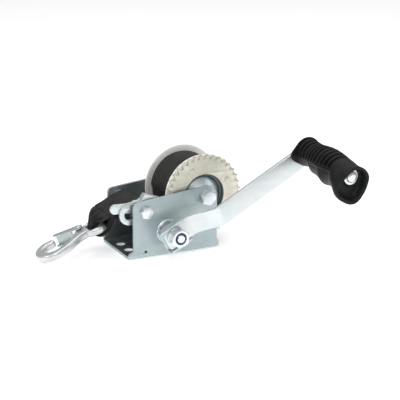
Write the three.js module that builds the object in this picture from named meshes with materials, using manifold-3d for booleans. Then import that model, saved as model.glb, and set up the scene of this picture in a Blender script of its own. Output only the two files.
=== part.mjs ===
// Hand-cranked boat trailer winch with a webbing strap and a snap hook.
// Millimetres. +X runs from the hook end to the rear of the frame, +Z is up, and the crank is on the -Y side.
// The origin is the centre of the underside of the base plate.
import * as THREE from "three";
import * as BufferGeometryUtils from "three/addons/utils/BufferGeometryUtils.js";
import Module from "manifold-3d";

const wasm = await Module();
wasm.setup();

// ---------------------------------------------------------------- driving dimensions

const FIT = 0.3;                 // clearance between pieces that touch or turn in each other

const SHEET = 3;                 // frame sheet thickness
const BASE_LENGTH = 97;
const FRAME_WIDTH = 68;          // over the outsides of the two side walls
const BEND_RADIUS = 4.5;         // outside radius of the two long bends
const BEND_HEIGHT = 8;           // the bends stand past the walls' ends up to here
const WALL_FRONT = -43.2;
const WALL_REAR = 46.3;
const WALL_FRONT_HEIGHT = 56;
const WALL_RISE = 0.11;          // slope of the walls' top edge
const OUTER_WALL = FRAME_WIDTH / 2;
const INNER_WALL = OUTER_WALL - SHEET;
const BASE_HOLE_X = 38.8;        // the four mounting holes, either side of the middle
const BASE_HOLE_Y = 10.3;
const BASE_HOLE_RADIUS = 4.3;

const AXLE_X = 34.8;
const AXLE_Z = 54;
const AXLE_RADIUS = 4.75;
const AXLE_FLATS = 14.3;         // across the flats of its head and nut
const GEAR_MODULE = 2.15;
const GEAR_TEETH = 36;
const PINION_TEETH = 12;
const PRESSURE_ANGLE = THREE.MathUtils.degToRad(25);
const BACKLASH = 0.5;
const CENTRE_DISTANCE = GEAR_MODULE * (GEAR_TEETH + PINION_TEETH) / 2;
const MESH_ANGLE = THREE.MathUtils.degToRad(214);   // from the axle towards the pinion shaft
const SHAFT_X = AXLE_X + CENTRE_DISTANCE * Math.cos(MESH_ANGLE);
const SHAFT_Z = AXLE_Z + CENTRE_DISTANCE * Math.sin(MESH_ANGLE);

const FLANGE_RADIUS = 40.6;
const FLANGE_THICKNESS = 1.6;
const GEAR_FRONT = -29.2;        // the face of the drum gear that looks at the crank side
const GEAR_BACK = -25.2;
const NEAR_FLANGE_FRONT = -25.0;
const FAR_FLANGE_BACK = 24.6;
const CORE_RADIUS = 20.7;
const CORE_WALL = 1.8;
const HUB_RADIUS = 9;
const RIVET_CIRCLE = 28.5;
const ROLL_RADIUS = 35;

const PAWL_X = -30.3;
const PAWL_Z = 46.3;
const PAWL_BOLT_RADIUS = 3.1;
const PAWL_BOLT_FLATS = 11.1;
const PAWL_NEAR = -28;           // the spring side of the pawl's first plate
const PAWL_FAR = -22.4;
const PAWL_PLATE = 2.5;
const SLEEVE_RADIUS = 7.5;
const STRAP_WIDTH = 44;
const STRAP_MIDDLE = 0.6;        // the strap's middle across the drum
const STRAP_THICKNESS = 1.8;

const SHAFT_RADIUS = 8.3;        // the crank side of the pinion shaft
const SHAFT_TAIL_RADIUS = 6.5;   // the rest of it, across the frame
const SHAFT_STEP = -48;          // the shoulder that the crank bracket seats on
const BUSH_BARREL_RADIUS = 9.6;
const BUSH_FLANGE_RADIUS = 12;
const RING_GROOVE = OUTER_WALL + 4.2;
const STUD_RADIUS = 4;           // the threaded stub under the crank nut
const STUD_END = -66.4;
const CRANK_NUT_FLATS = 17;
const NUT_FACE = -65.4;
const INSERT_RADIUS = 5.4;       // the nylon ring in the nut's face
const BRACKET_START = -13.5;     // along the arm, from the shaft
const BRACKET_END = 13;
const CRANK_LENGTH = 143.3;
const CRANK_ANGLE = THREE.MathUtils.degToRad(28.3);
const ARM_WIDTH = 19.6;
const ARM_THICKNESS = 4.8;
const ARM_HUB_FACE = -55.7;      // front face of the arm at the hub
const ARM_JOGGLE = 20.2;         // how far the grip end stands further out
const JOGGLE_START = 16;         // distance from the shaft
const JOGGLE_LENGTH = 29;
const GRIP_INNER_END = -77.2;
const GRIP_OUTER_END = -166;
const GRIP_LENGTH = GRIP_INNER_END - GRIP_OUTER_END;
const GRIP_RECESS_RADIUS = 9.4;
const RECESS_FLOOR = GRIP_OUTER_END + 9;
const SPINDLE_RADIUS = 4;
const PALM_SIDE = THREE.MathUtils.degToRad(58);      // direction of the palm side, seen from the crank side
const FLARE_RADII = [15.3, 13.2, 11.8, 11, 10.4, 11.2, 14.2, 23, 24, 23.8, 19, 16];   // every 30 degrees
const FLARE_START = 69;          // distance from the grip's inner end

const HOOK_SLOPE = THREE.MathUtils.degToRad(21);
const HOOK_TIP_X = -129.6;       // the bow's outermost point
const HOOK_TIP_Z = 4.2;
const HOOK_THICKNESS = 8;
const LATCH_PIVOT = [50.2, 6.6];   // on the hook's flat side
const CHEEK_INSIDE = HOOK_THICKNESS / 2 + 1.3;
const CHEEK_OUTSIDE = CHEEK_INSIDE + 1;
const EYE_BAR_S = 69.4;          // from the bow's end to the middle of the eye's end bar
const EYE_BAR_HALF = 3.2;        // half the bar's width, and a little more than half its thickness
const EYE_BAR_X = HOOK_TIP_X + EYE_BAR_S * Math.cos(HOOK_SLOPE);
const EYE_BAR_Z = HOOK_TIP_Z + EYE_BAR_S * Math.sin(HOOK_SLOPE);
const LOOP_INSIDE = 4.9;         // inside radius of the strap's loop, clear of the bar's corners

// ---------------------------------------------------------------- finishes

const finishes = {
  zinc: { color: 0xaab8bc, roughness: 0.42, metalness: 0.85 },
  armZinc: { color: 0xd9e2e2, roughness: 0.38, metalness: 0.8 },
  yellowZinc: { color: 0xcfcabb, roughness: 0.4, metalness: 0.85 },
  brightBolt: { color: 0xd4dadc, roughness: 0.3, metalness: 0.9 },
  hookSteel: { color: 0xe6e8e6, roughness: 0.25, metalness: 0.9 },
  springSteel: { color: 0x8d9396, roughness: 0.35, metalness: 0.9 },
  nylon: { color: 0x1c2a4a, roughness: 0.55, metalness: 0 },
  grip: { color: 0x1b1b1c, roughness: 0.6, metalness: 0 },
  webbing: { color: 0x242222, roughness: 0.9, metalness: 0 },
};

// ---------------------------------------------------------------- solids

const AXIS_X = new THREE.Matrix4().makeBasis(
  new THREE.Vector3(0, 1, 0), new THREE.Vector3(0, 0, 1), new THREE.Vector3(1, 0, 0));
const AXIS_Y = new THREE.Matrix4().makeBasis(
  new THREE.Vector3(1, 0, 0), new THREE.Vector3(0, 0, 1), new THREE.Vector3(0, -1, 0));

function toSolid(geometry) {
  const bare = geometry.clone();
  bare.deleteAttribute("normal");
  bare.deleteAttribute("uv");
  const merged = BufferGeometryUtils.mergeVertices(bare, 1e-4);
  const mesh = new wasm.Mesh({
    numProp: 3,
    vertProperties: new Float32Array(merged.attributes.position.array),
    triVerts: new Uint32Array(merged.index.array),
  });
  return new wasm.Manifold(mesh);
}

function toGeometry(solid) {
  const mesh = solid.getMesh();
  const geometry = new THREE.BufferGeometry();
  geometry.setAttribute("position", new THREE.BufferAttribute(mesh.vertProperties, 3));
  geometry.setIndex(new THREE.BufferAttribute(mesh.triVerts, 1));
  geometry.computeVertexNormals();
  return geometry;
}

const join = (first, ...rest) => rest.reduce((sum, next) => sum.add(next), first);
const cut = (first, ...rest) => rest.reduce((left, next) => left.subtract(next), first);

function extrude(shape, depth, segments = 12) {
  return new THREE.ExtrudeGeometry(shape, { depth, bevelEnabled: false, curveSegments: segments });
}

// A plate drawn in X and Z, filling y from low to high.
function plateY(shape, low, high, segments) {
  const geometry = extrude(shape, high - low, segments);
  geometry.applyMatrix4(AXIS_Y);
  geometry.translate(0, high, 0);
  return toSolid(geometry);
}

// A bar drawn in Y and Z, filling x from low to high.
function barX(shape, low, high, segments) {
  const geometry = extrude(shape, high - low, segments);
  geometry.applyMatrix4(AXIS_X);
  geometry.translate(low, 0, 0);
  return toSolid(geometry);
}

// A plate drawn in X and Y, filling z from low to high.
function plateZ(shape, low, high, segments) {
  const geometry = extrude(shape, high - low, segments);
  geometry.translate(0, 0, low);
  return toSolid(geometry);
}

function disc(x, z, radius) {
  const shape = new THREE.Shape();
  shape.absarc(x, z, radius, 0, 2 * Math.PI, false);
  return shape;
}

function ring(x, z, outer, inner) {
  const shape = disc(x, z, outer);
  shape.holes.push(disc(x, z, inner));
  return shape;
}

function hexagon(x, z, acrossFlats, turn = 0) {
  const corner = acrossFlats / Math.sqrt(3);
  const points = [];
  for (let i = 0; i < 6; i += 1) {
    const angle = turn + i * Math.PI / 3;
    points.push(new THREE.Vector2(x + corner * Math.cos(angle), z + corner * Math.sin(angle)));
  }
  return new THREE.Shape(points);
}

function polygon(points) {
  return new THREE.Shape(points.map(([x, y]) => new THREE.Vector2(x, y)));
}

function rectangle(x0, y0, x1, y1) {
  return polygon([[x0, y0], [x1, y0], [x1, y1], [x0, y1]]);
}

// A rod or disc along Y.
const rod = (x, z, radius, low, high, segments = 10) => plateY(disc(x, z, radius), low, high, segments);
const tube = (x, z, outer, inner, low, high, segments = 10) =>
  plateY(ring(x, z, outer, inner), low, high, segments);

// A hexagon bolt head or nut with its corners turned off in a cone, as on real fasteners.
function hexHead(x, z, acrossFlats, low, high, chamferAt, turn = 0) {
  const height = high - low;
  const corner = acrossFlats / Math.sqrt(3);
  const rim = acrossFlats / 2 * 0.97;
  const drop = (corner - rim) * 0.6;
  const profile = [[0, 0], [corner + 0.01, 0], [corner + 0.01, height - drop], [rim, height], [0, height]];
  const cone = new THREE.LatheGeometry(profile.map(([r, y]) => new THREE.Vector2(r, y)), 12);
  if (chamferAt === "low") {
    cone.rotateX(Math.PI);
    cone.translate(x, high, z);
  } else {
    cone.translate(x, low, z);
  }
  return plateY(hexagon(x, z, acrossFlats, turn), low, high).intersect(toSolid(cone));
}

// ---------------------------------------------------------------- assembly helpers

const winch = new THREE.Group();

function piece(name, finish, solid, parent = winch) {
  const mesh = new THREE.Mesh(toGeometry(solid), new THREE.MeshStandardMaterial(finishes[finish]));
  mesh.name = name;
  parent.add(mesh);
  return mesh;
}

// ---------------------------------------------------------------- frame

function wallTop(x) {
  return WALL_FRONT_HEIGHT + WALL_RISE * (x - WALL_FRONT);
}

// The side view of the frame: the base with its bends is a little longer than the walls.
function frameSideOutline() {
  const half = BASE_LENGTH / 2;
  const front = 5;
  const rear = 11;
  const slope = Math.atan(WALL_RISE);
  const rearX = WALL_REAR - rear;
  const rearZ = wallTop(rearX) - rear / Math.cos(slope);
  const shape = new THREE.Shape();
  shape.moveTo(-half, 0);
  shape.lineTo(half, 0);
  shape.lineTo(half, BEND_HEIGHT - 2);
  shape.quadraticCurveTo(half, BEND_HEIGHT, WALL_REAR, BEND_HEIGHT + 1);
  shape.lineTo(WALL_REAR, rearZ);
  shape.absarc(rearX, rearZ, rear, 0, Math.PI / 2 + slope, false);
  shape.lineTo(WALL_FRONT + front, wallTop(WALL_FRONT + front));
  shape.quadraticCurveTo(WALL_FRONT, wallTop(WALL_FRONT), WALL_FRONT, WALL_FRONT_HEIGHT - front);
  shape.lineTo(WALL_FRONT, BEND_HEIGHT + 2);
  shape.quadraticCurveTo(WALL_FRONT, BEND_HEIGHT, WALL_FRONT - 2, BEND_HEIGHT - 0.5);
  shape.quadraticCurveTo(-half, BEND_HEIGHT - 2, -half, BEND_HEIGHT - 4);
  return shape;
}

// The end view of the folded sheet: a U with rounded outside and inside corners.
function frameEndOutline() {
  const top = 80;
  const inside = BEND_RADIUS - SHEET;
  const shape = new THREE.Shape();
  shape.moveTo(-OUTER_WALL, top);
  shape.lineTo(-OUTER_WALL, BEND_RADIUS);
  shape.absarc(-OUTER_WALL + BEND_RADIUS, BEND_RADIUS, BEND_RADIUS, Math.PI, 1.5 * Math.PI, false);
  shape.absarc(OUTER_WALL - BEND_RADIUS, BEND_RADIUS, BEND_RADIUS, 1.5 * Math.PI, 2 * Math.PI, false);
  shape.lineTo(OUTER_WALL, top);
  shape.lineTo(INNER_WALL, top);
  shape.absarc(INNER_WALL - inside, SHEET + inside, inside, 0, -0.5 * Math.PI, true);
  shape.absarc(-INNER_WALL + inside, SHEET + inside, inside, 1.5 * Math.PI, Math.PI, true);
  shape.lineTo(-INNER_WALL, top);
  return shape;
}

function frame() {
  const through = OUTER_WALL + 1;
  const folded = barX(frameEndOutline(), -BASE_LENGTH / 2 - 1, BASE_LENGTH / 2 + 1, 5);
  const side = plateY(frameSideOutline(), -through, through, 8);
  const wallHoles = [
    rod(AXLE_X, AXLE_Z, AXLE_RADIUS + FIT, -through, through),
    rod(SHAFT_X, SHAFT_Z, BUSH_BARREL_RADIUS + FIT, -through, through),
    rod(PAWL_X, PAWL_Z, PAWL_BOLT_RADIUS + FIT, -through, through),
    rod(-30.7, 6.4, 1.4, -through, -INNER_WALL + 1, 8),
  ];
  const baseHoles = [];
  for (const x of [-BASE_HOLE_X, BASE_HOLE_X]) {
    for (const y of [-BASE_HOLE_Y, BASE_HOLE_Y]) {
      baseHoles.push(plateZ(disc(x, y, BASE_HOLE_RADIUS), -1, SHEET + 1, 10));
    }
  }
  return cut(folded.intersect(side), ...wallHoles, ...baseHoles);
}

// ---------------------------------------------------------------- gears

// Half the angle that a tooth fills at a given radius, from the involute of the pressure angle.
function toothHalfAngle(radius, teeth) {
  const pitch = GEAR_MODULE * teeth / 2;
  const involute = (angle) => Math.tan(angle) - angle;
  const base = pitch * Math.cos(PRESSURE_ANGLE);
  const flank = Math.acos(Math.min(1, base / Math.max(radius, base)));
  const atPitch = Math.PI / 2 / teeth - BACKLASH / 2 / pitch;
  return atPitch + involute(PRESSURE_ANGLE) - involute(flank);
}

function gearOutline(x, z, teeth, firstTooth) {
  const pitch = GEAR_MODULE * teeth / 2;
  const tip = pitch + GEAR_MODULE;
  const root = pitch - 1.2 * GEAR_MODULE;
  const radii = [root, pitch - 0.5 * GEAR_MODULE, pitch + 0.25 * GEAR_MODULE, tip];
  const points = [];
  for (let tooth = 0; tooth < teeth; tooth += 1) {
    const middle = firstTooth + tooth * 2 * Math.PI / teeth;
    const left = radii.map((r) => [r, middle - toothHalfAngle(r, teeth)]);
    const right = radii.map((r) => [r, middle + toothHalfAngle(r, teeth)]).reverse();
    for (const [r, angle] of [...left, ...right]) {
      points.push(new THREE.Vector2(x + r * Math.cos(angle), z + r * Math.sin(angle)));
    }
  }
  return new THREE.Shape(points);
}

function rivetPlaces() {
  const places = [];
  for (let i = 0; i < 4; i += 1) {
    const angle = THREE.MathUtils.degToRad(27) + i * Math.PI / 2;
    places.push([AXLE_X + RIVET_CIRCLE * Math.cos(angle), AXLE_Z + RIVET_CIRCLE * Math.sin(angle)]);
  }
  return places;
}

const RIVET_RADIUS = 2.4;

function drumGear() {
  const blank = gearOutline(AXLE_X, AXLE_Z, GEAR_TEETH, MESH_ANGLE);
  blank.holes.push(disc(AXLE_X, AXLE_Z, CORE_RADIUS + FIT));
  for (const [x, z] of rivetPlaces()) {
    blank.holes.push(disc(x, z, RIVET_RADIUS + FIT));
  }
  return plateY(blank, GEAR_FRONT, GEAR_BACK, 8);
}

function nearFlange() {
  const blank = ring(AXLE_X, AXLE_Z, FLANGE_RADIUS, CORE_RADIUS - CORE_WALL);
  for (const [x, z] of rivetPlaces()) {
    blank.holes.push(disc(x, z, RIVET_RADIUS + FIT));
  }
  return plateY(blank, NEAR_FLANGE_FRONT, NEAR_FLANGE_FRONT + FLANGE_THICKNESS, 16);
}

function gearRivet([x, z]) {
  const shank = rod(x, z, RIVET_RADIUS, GEAR_FRONT - 0.4, NEAR_FLANGE_FRONT + FLANGE_THICKNESS, 8);
  const head = rod(x, z, RIVET_RADIUS + 0.9, GEAR_FRONT - 0.7, GEAR_FRONT - 0.1, 8);
  return join(shank, head);
}

function farFlange() {
  const blank = ring(AXLE_X, AXLE_Z, FLANGE_RADIUS, CORE_RADIUS - CORE_WALL);
  return plateY(blank, FAR_FLANGE_BACK - FLANGE_THICKNESS, FAR_FLANGE_BACK, 16);
}

// The tube that the strap winds on, with a slot for the strap's end.
function drumCore() {
  const low = NEAR_FLANGE_FRONT + FLANGE_THICKNESS + 0.05;
  const high = FAR_FLANGE_BACK - FLANGE_THICKNESS - 0.05;
  const slot = plateY(rectangle(AXLE_X - 30, AXLE_Z - 2, AXLE_X - 10, AXLE_Z + 2), low + 4, high - 4);
  return cut(tube(AXLE_X, AXLE_Z, CORE_RADIUS, CORE_RADIUS - CORE_WALL, low, high, 14), slot);
}

// A dished end plate pressed into the core, with a hub that runs on the axle sleeve.
function drumHub(inner, outer) {
  const toward = Math.sign(outer - inner);
  const rim = CORE_RADIUS - CORE_WALL - FIT;
  const faces = [
    [HUB_RADIUS - 2.4, inner], [rim, inner], [rim, inner + 6 * toward], [rim - 2, inner + 6 * toward],
    [rim - 4, inner + 2.4 * toward], [HUB_RADIUS, inner + 2.4 * toward], [HUB_RADIUS, outer],
    [HUB_RADIUS - 2.4, outer],
  ];
  const profile = faces.map(([r, y]) => new THREE.Vector2(r, y));
  profile.push(profile[0].clone());
  if (toward < 0) {
    profile.reverse();
  }
  const lathe = new THREE.LatheGeometry(profile, 22);
  lathe.translate(AXLE_X, 0, AXLE_Z);
  return toSolid(lathe);
}

function strapRoll() {
  const low = STRAP_MIDDLE - STRAP_WIDTH / 2;
  return tube(AXLE_X, AXLE_Z, ROLL_RADIUS, CORE_RADIUS + FIT, low, low + STRAP_WIDTH, 20);
}

// The pin inside the core that holds the sewn end of the strap.
const anchorPin = () => rod(AXLE_X - 13.5, AXLE_Z, 3, -14, 14, 8);

// ---------------------------------------------------------------- drum axle

const SLEEVE_END = INNER_WALL - FIT;

const axleBolt = () => join(
  hexHead(AXLE_X, AXLE_Z, AXLE_FLATS, -OUTER_WALL - 6.1, -OUTER_WALL - 0.1, "low", 0.2),
  rod(AXLE_X, AXLE_Z, AXLE_RADIUS, -OUTER_WALL - 0.2, OUTER_WALL + 12.5),
);
const axleSleeve = () => tube(AXLE_X, AXLE_Z, 6.3, AXLE_RADIUS + 0.2, -SLEEVE_END, SLEEVE_END);
const axleWasher = () => tube(AXLE_X, AXLE_Z, 10, AXLE_RADIUS + 0.2, OUTER_WALL + 0.1, OUTER_WALL + 2);
const axleNut = () => cut(
  hexHead(AXLE_X, AXLE_Z, AXLE_FLATS, OUTER_WALL + 2.2, OUTER_WALL + 10.5, "high", 0.35),
  rod(AXLE_X, AXLE_Z, AXLE_RADIUS + 0.15, OUTER_WALL, OUTER_WALL + 12),
);

// ---------------------------------------------------------------- pinion shaft

function pinionShaft() {
  const body = join(
    rod(SHAFT_X, SHAFT_Z, SHAFT_RADIUS, SHAFT_STEP, GEAR_BACK),
    rod(SHAFT_X, SHAFT_Z, SHAFT_TAIL_RADIUS, GEAR_BACK - 1, OUTER_WALL + 7.5),
    rod(SHAFT_X, SHAFT_Z, STUD_RADIUS, STUD_END, SHAFT_STEP + 1),
  );
  const groove = tube(SHAFT_X, SHAFT_Z, 9, SHAFT_TAIL_RADIUS - 0.8, RING_GROOVE, RING_GROOVE + 1.6);
  return cut(body, groove);
}

function pinion() {
  const firstTooth = MESH_ANGLE + Math.PI + Math.PI / PINION_TEETH;
  const blank = gearOutline(SHAFT_X, SHAFT_Z, PINION_TEETH, firstTooth);
  blank.holes.push(disc(SHAFT_X, SHAFT_Z, SHAFT_RADIUS + 0.2));
  return plateY(blank, -INNER_WALL + 0.4, GEAR_BACK - 0.3, 12);
}

// A flanged bush in a wall. The flange's face is relieved around the shaft.
function bush(side, bore) {
  const inside = Math.min(side * (INNER_WALL + 0.2), side * (OUTER_WALL + 2.6));
  const outside = Math.max(side * (INNER_WALL + 0.2), side * (OUTER_WALL + 2.6));
  const flange = [side * (OUTER_WALL + 0.15), side * (OUTER_WALL + 2.6)].sort((a, b) => a - b);
  const relief = [side * (OUTER_WALL + 1.2), side * (OUTER_WALL + 4)].sort((a, b) => a - b);
  return cut(
    join(
      rod(SHAFT_X, SHAFT_Z, BUSH_BARREL_RADIUS, inside, outside),
      rod(SHAFT_X, SHAFT_Z, BUSH_FLANGE_RADIUS, ...flange, 12),
    ),
    rod(SHAFT_X, SHAFT_Z, bore, -60, 60),
    rod(SHAFT_X, SHAFT_Z, 10.4, ...relief),
  );
}

function retainingRing() {
  const blank = ring(SHAFT_X, SHAFT_Z, 9.4, SHAFT_TAIL_RADIUS - 0.6);
  const gap = plateY(rectangle(SHAFT_X - 3, SHAFT_Z - 12, SHAFT_X + 3, SHAFT_Z), 30, 50);
  return cut(plateY(blank, RING_GROOVE + 0.2, RING_GROOVE + 1.4), gap);
}

// ---------------------------------------------------------------- crank, in its own turned group

const crank = new THREE.Group();
crank.position.set(SHAFT_X, 0, SHAFT_Z);
crank.rotation.y = -CRANK_ANGLE;
winch.add(crank);

const LIP_INSIDE = ARM_WIDTH / 2 + FIT;
const LIP_OUTSIDE = LIP_INSIDE + 2.3;

// The channel that drives the arm: a web on the shaft's shoulder and a lip along each edge of the arm.
function hubBracket() {
  const web = plateY(rectangle(BRACKET_START, -LIP_OUTSIDE, BRACKET_END, LIP_OUTSIDE), -50.6, SHAFT_STEP - 0.1);
  const lips = [-1, 1].map((side) => {
    const z = [side * LIP_INSIDE, side * LIP_OUTSIDE].sort((a, b) => a - b);
    return plateY(rectangle(BRACKET_START, z[0], BRACKET_END, z[1]), -57.2, -50);
  });
  return cut(join(web, ...lips), rod(0, 0, STUD_RADIUS + 0.2, -60, -40));
}

// How far the arm has moved out, at a distance s from the shaft.
function joggle(s) {
  const t = THREE.MathUtils.clamp((s - JOGGLE_START) / JOGGLE_LENGTH, 0, 1);
  return ARM_JOGGLE * t * t * (3 - 2 * t);
}

function crankArm() {
  const start = -11.5;
  const end = CRANK_LENGTH + ARM_WIDTH / 2;
  const stations = [start];
  for (let i = 0; i <= 14; i += 1) {
    stations.push(JOGGLE_START + JOGGLE_LENGTH * i / 14);
  }
  stations.push(end);
  const front = stations.map((s) => [s, ARM_HUB_FACE - joggle(s)]);
  const back = stations.map((s) => [s, ARM_HUB_FACE + ARM_THICKNESS - joggle(s)]).reverse();
  const bent = plateZ(polygon([...front, ...back]), -ARM_WIDTH / 2, ARM_WIDTH / 2);
  const outline = new THREE.Shape();
  outline.moveTo(start, -ARM_WIDTH / 2 + 4);
  outline.quadraticCurveTo(start, -ARM_WIDTH / 2, start + 4, -ARM_WIDTH / 2);
  outline.lineTo(CRANK_LENGTH, -ARM_WIDTH / 2);
  outline.absarc(CRANK_LENGTH, 0, ARM_WIDTH / 2, -Math.PI / 2, Math.PI / 2, false);
  outline.lineTo(start + 4, ARM_WIDTH / 2);
  outline.quadraticCurveTo(start, ARM_WIDTH / 2, start, ARM_WIDTH / 2 - 4);
  outline.holes.push(disc(0, 0, STUD_RADIUS + 0.2));
  outline.holes.push(disc(CRANK_LENGTH, 0, SPINDLE_RADIUS + 0.2));
  return bent.intersect(plateY(outline, -100, -20, 10));
}

const crankWasher = () => tube(0, 0, 9.9, STUD_RADIUS + 0.2, -57.6, -55.9);

function crankNut() {
  return cut(
    hexHead(0, 0, CRANK_NUT_FLATS, NUT_FACE, -57.8, "low", 0.4),
    rod(0, 0, STUD_RADIUS + 0.2, -70, -50),
    rod(0, 0, INSERT_RADIUS + 0.2, -70, NUT_FACE + 2.2),
  );
}

const nutInsert = () => tube(0, 0, INSERT_RADIUS, STUD_RADIUS + 0.15, NUT_FACE + 0.1, NUT_FACE + 2.1);

// The grip's spindle: a shouldered rivet, formed over behind the arm, with a head in the grip's end.
function gripSpindle() {
  const armFront = ARM_HUB_FACE - ARM_JOGGLE;
  const armBack = armFront + ARM_THICKNESS;
  return join(
    rod(CRANK_LENGTH, 0, SPINDLE_RADIUS, RECESS_FLOOR - 2, armBack + 1.5),
    rod(CRANK_LENGTH, 0, 7, armBack + 0.1, armBack + 2.2),
    rod(CRANK_LENGTH, 0, 5.4, RECESS_FLOOR - 4, RECESS_FLOOR - 1.7),
  );
}

const gripWasher = () => tube(CRANK_LENGTH, 0, 7.6, SPINDLE_RADIUS + 0.2, RECESS_FLOOR - 1.5, RECESS_FLOOR - 0.3);

// ---------------------------------------------------------------- grip

// The flared end's radius in a direction, from the radii that are given every 30 degrees.
function flareRadius(angle) {
  const count = FLARE_RADII.length;
  const place = (angle / (2 * Math.PI) * count + count) % count;
  const low = Math.floor(place);
  const t = THREE.MathUtils.smoothstep(place - low, 0, 1);
  return FLARE_RADII[low % count] * (1 - t) + FLARE_RADII[(low + 1) % count] * t;
}

// The handle is a round body that leans towards the palm at the arm and swells in the middle.
function gripRadius(along, angle) {
  const swell = THREE.MathUtils.smoothstep(along, 12, 44) - 0.35 * THREE.MathUtils.smoothstep(along, 48, 72);
  const lean = 7.2 - 8.6 * along / 70;
  const body = 13.4 + 3.4 * swell;
  const away = angle - PALM_SIDE;
  const round = lean * Math.cos(away) + Math.sqrt(body ** 2 - (lean * Math.sin(away)) ** 2);
  const flare = THREE.MathUtils.smoothstep(along, FLARE_START, GRIP_LENGTH) ** 1.2;
  return round * (1 - flare) + flareRadius(angle) * flare;
}

// A closed body through rings of points, one ring for each distance from the inner end.
function gripLoft(distances, around) {
  const positions = [0, GRIP_INNER_END, 0];
  const index = [];
  for (const along of distances) {
    for (let i = 0; i < around; i += 1) {
      const angle = 2 * Math.PI * i / around;
      const radius = gripRadius(along, angle);
      positions.push(radius * Math.cos(angle), GRIP_INNER_END - along, radius * Math.sin(angle));
    }
  }
  positions.push(0, GRIP_OUTER_END, 0);
  const last = positions.length / 3 - 1;
  for (let i = 0; i < around; i += 1) {
    const next = (i + 1) % around;
    index.push(0, 1 + next, 1 + i);
    for (let ring = 0; ring + 1 < distances.length; ring += 1) {
      const a = 1 + ring * around;
      index.push(a + i, a + next, a + around + i, a + next, a + around + next, a + around + i);
    }
    const end = last - around;
    index.push(end + i, end + next, last);
  }
  const geometry = new THREE.BufferGeometry();
  geometry.setAttribute("position", new THREE.Float32BufferAttribute(positions, 3));
  geometry.setIndex(index);
  return geometry;
}

function grip() {
  const distances = [0, 10, 20, 28, 36, 44, 54, 62, FLARE_START, 75, 81, GRIP_LENGTH];
  return cut(
    toSolid(gripLoft(distances, 24)),
    rod(0, 0, SPINDLE_RADIUS + 0.3, GRIP_OUTER_END - 1, GRIP_INNER_END + 1),
    rod(0, 0, GRIP_RECESS_RADIUS, GRIP_OUTER_END - 1, RECESS_FLOOR),
  );
}

// ---------------------------------------------------------------- pawl

// The first plate: an open claw at the front, a boss on the bolt, and two teeth towards the pinion.
function pawlPlate() {
  const claw = new THREE.Shape();
  claw.absarc(-44.8, 43.8, 10.1, 0.75, 5.1, false);
  claw.absarc(-44.8, 43.8, 5.2, 5.1, 0.75, true);
  const bridge = polygon([[-42, 48.2], [-30, 46], [-24, 52], [-30, 55.2], [-44, 53.9], [-45, 49.4]]);
  const toe = polygon([[-43.6, 33.8], [-40.5, 33.6], [-30.5, 31.4], [-25.6, 31.6], [-30.4, 37.4], [-42.6, 39.2]]);
  const toeNeck = polygon([[-33.6, 36], [-29.4, 36], [-26, 46.3], [-36.6, 46.3]]);
  const tooth = polygon([[-30, 42.4], [-24, 40.2], [-14.5, 40.4], [-16.5, 43.4], [-23, 50.5], [-30, 51]]);
  const plates = [claw, bridge, toe, toeNeck, tooth].map((shape) => plateY(shape, PAWL_NEAR, PAWL_NEAR + PAWL_PLATE, 12));
  return join(...plates, rod(PAWL_X, PAWL_Z, 6.9, PAWL_NEAR, PAWL_FAR));
}

// The second plate carries the thumb tab, and the web over the top joins the two.
function pawlTab() {
  const tab = new THREE.Shape();
  tab.moveTo(-58.7, 45.2);
  tab.lineTo(-50, 45);
  tab.lineTo(-36, 43.5);
  tab.lineTo(-27, 47);
  tab.lineTo(-28, 58);
  tab.lineTo(-34, 57.4);
  tab.lineTo(-39.5, 56.6);
  tab.lineTo(-46, 54.2);
  tab.lineTo(-58.7, 54.8);
  tab.absarc(-58.7, 50, 4.8, Math.PI / 2, 1.5 * Math.PI, false);
  const web = polygon([[-34.2, 55.4], [-28.9, 63.2], [-11.8, 57.2], [-12.6, 54.9], [-26, 58.4], [-28.6, 54.6]]);
  return join(
    plateY(tab, PAWL_FAR - PAWL_PLATE, PAWL_FAR, 8),
    plateY(web, -30.2, PAWL_FAR, 4),
    plateY(rectangle(-40, 53.2, -29, 56), PAWL_NEAR, PAWL_FAR, 4),
  );
}

const pawl = () => cut(
  join(pawlPlate(), pawlTab()),
  rod(PAWL_X, PAWL_Z, PAWL_BOLT_RADIUS + 0.2, -40, -10),
);

const pawlBolt = () => join(
  hexHead(PAWL_X, PAWL_Z, PAWL_BOLT_FLATS, -OUTER_WALL - 4.5, -OUTER_WALL - 0.1, "low", 0.3),
  rod(PAWL_X, PAWL_Z, PAWL_BOLT_RADIUS, -OUTER_WALL - 0.2, OUTER_WALL + 8.6, 12),
);
const guideSleeve = () => tube(PAWL_X, PAWL_Z, SLEEVE_RADIUS, PAWL_BOLT_RADIUS + 0.3, PAWL_FAR + FIT, SLEEVE_END);
const pawlWasher = () => tube(PAWL_X, PAWL_Z, 6.8, PAWL_BOLT_RADIUS + 0.2, OUTER_WALL + 0.1, OUTER_WALL + 1.5);
const pawlNut = () => cut(
  hexHead(PAWL_X, PAWL_Z, PAWL_BOLT_FLATS, OUTER_WALL + 1.7, OUTER_WALL + 7.2, "high", 0.5),
  rod(PAWL_X, PAWL_Z, PAWL_BOLT_RADIUS + 0.15, OUTER_WALL, OUTER_WALL + 9),
);

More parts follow.
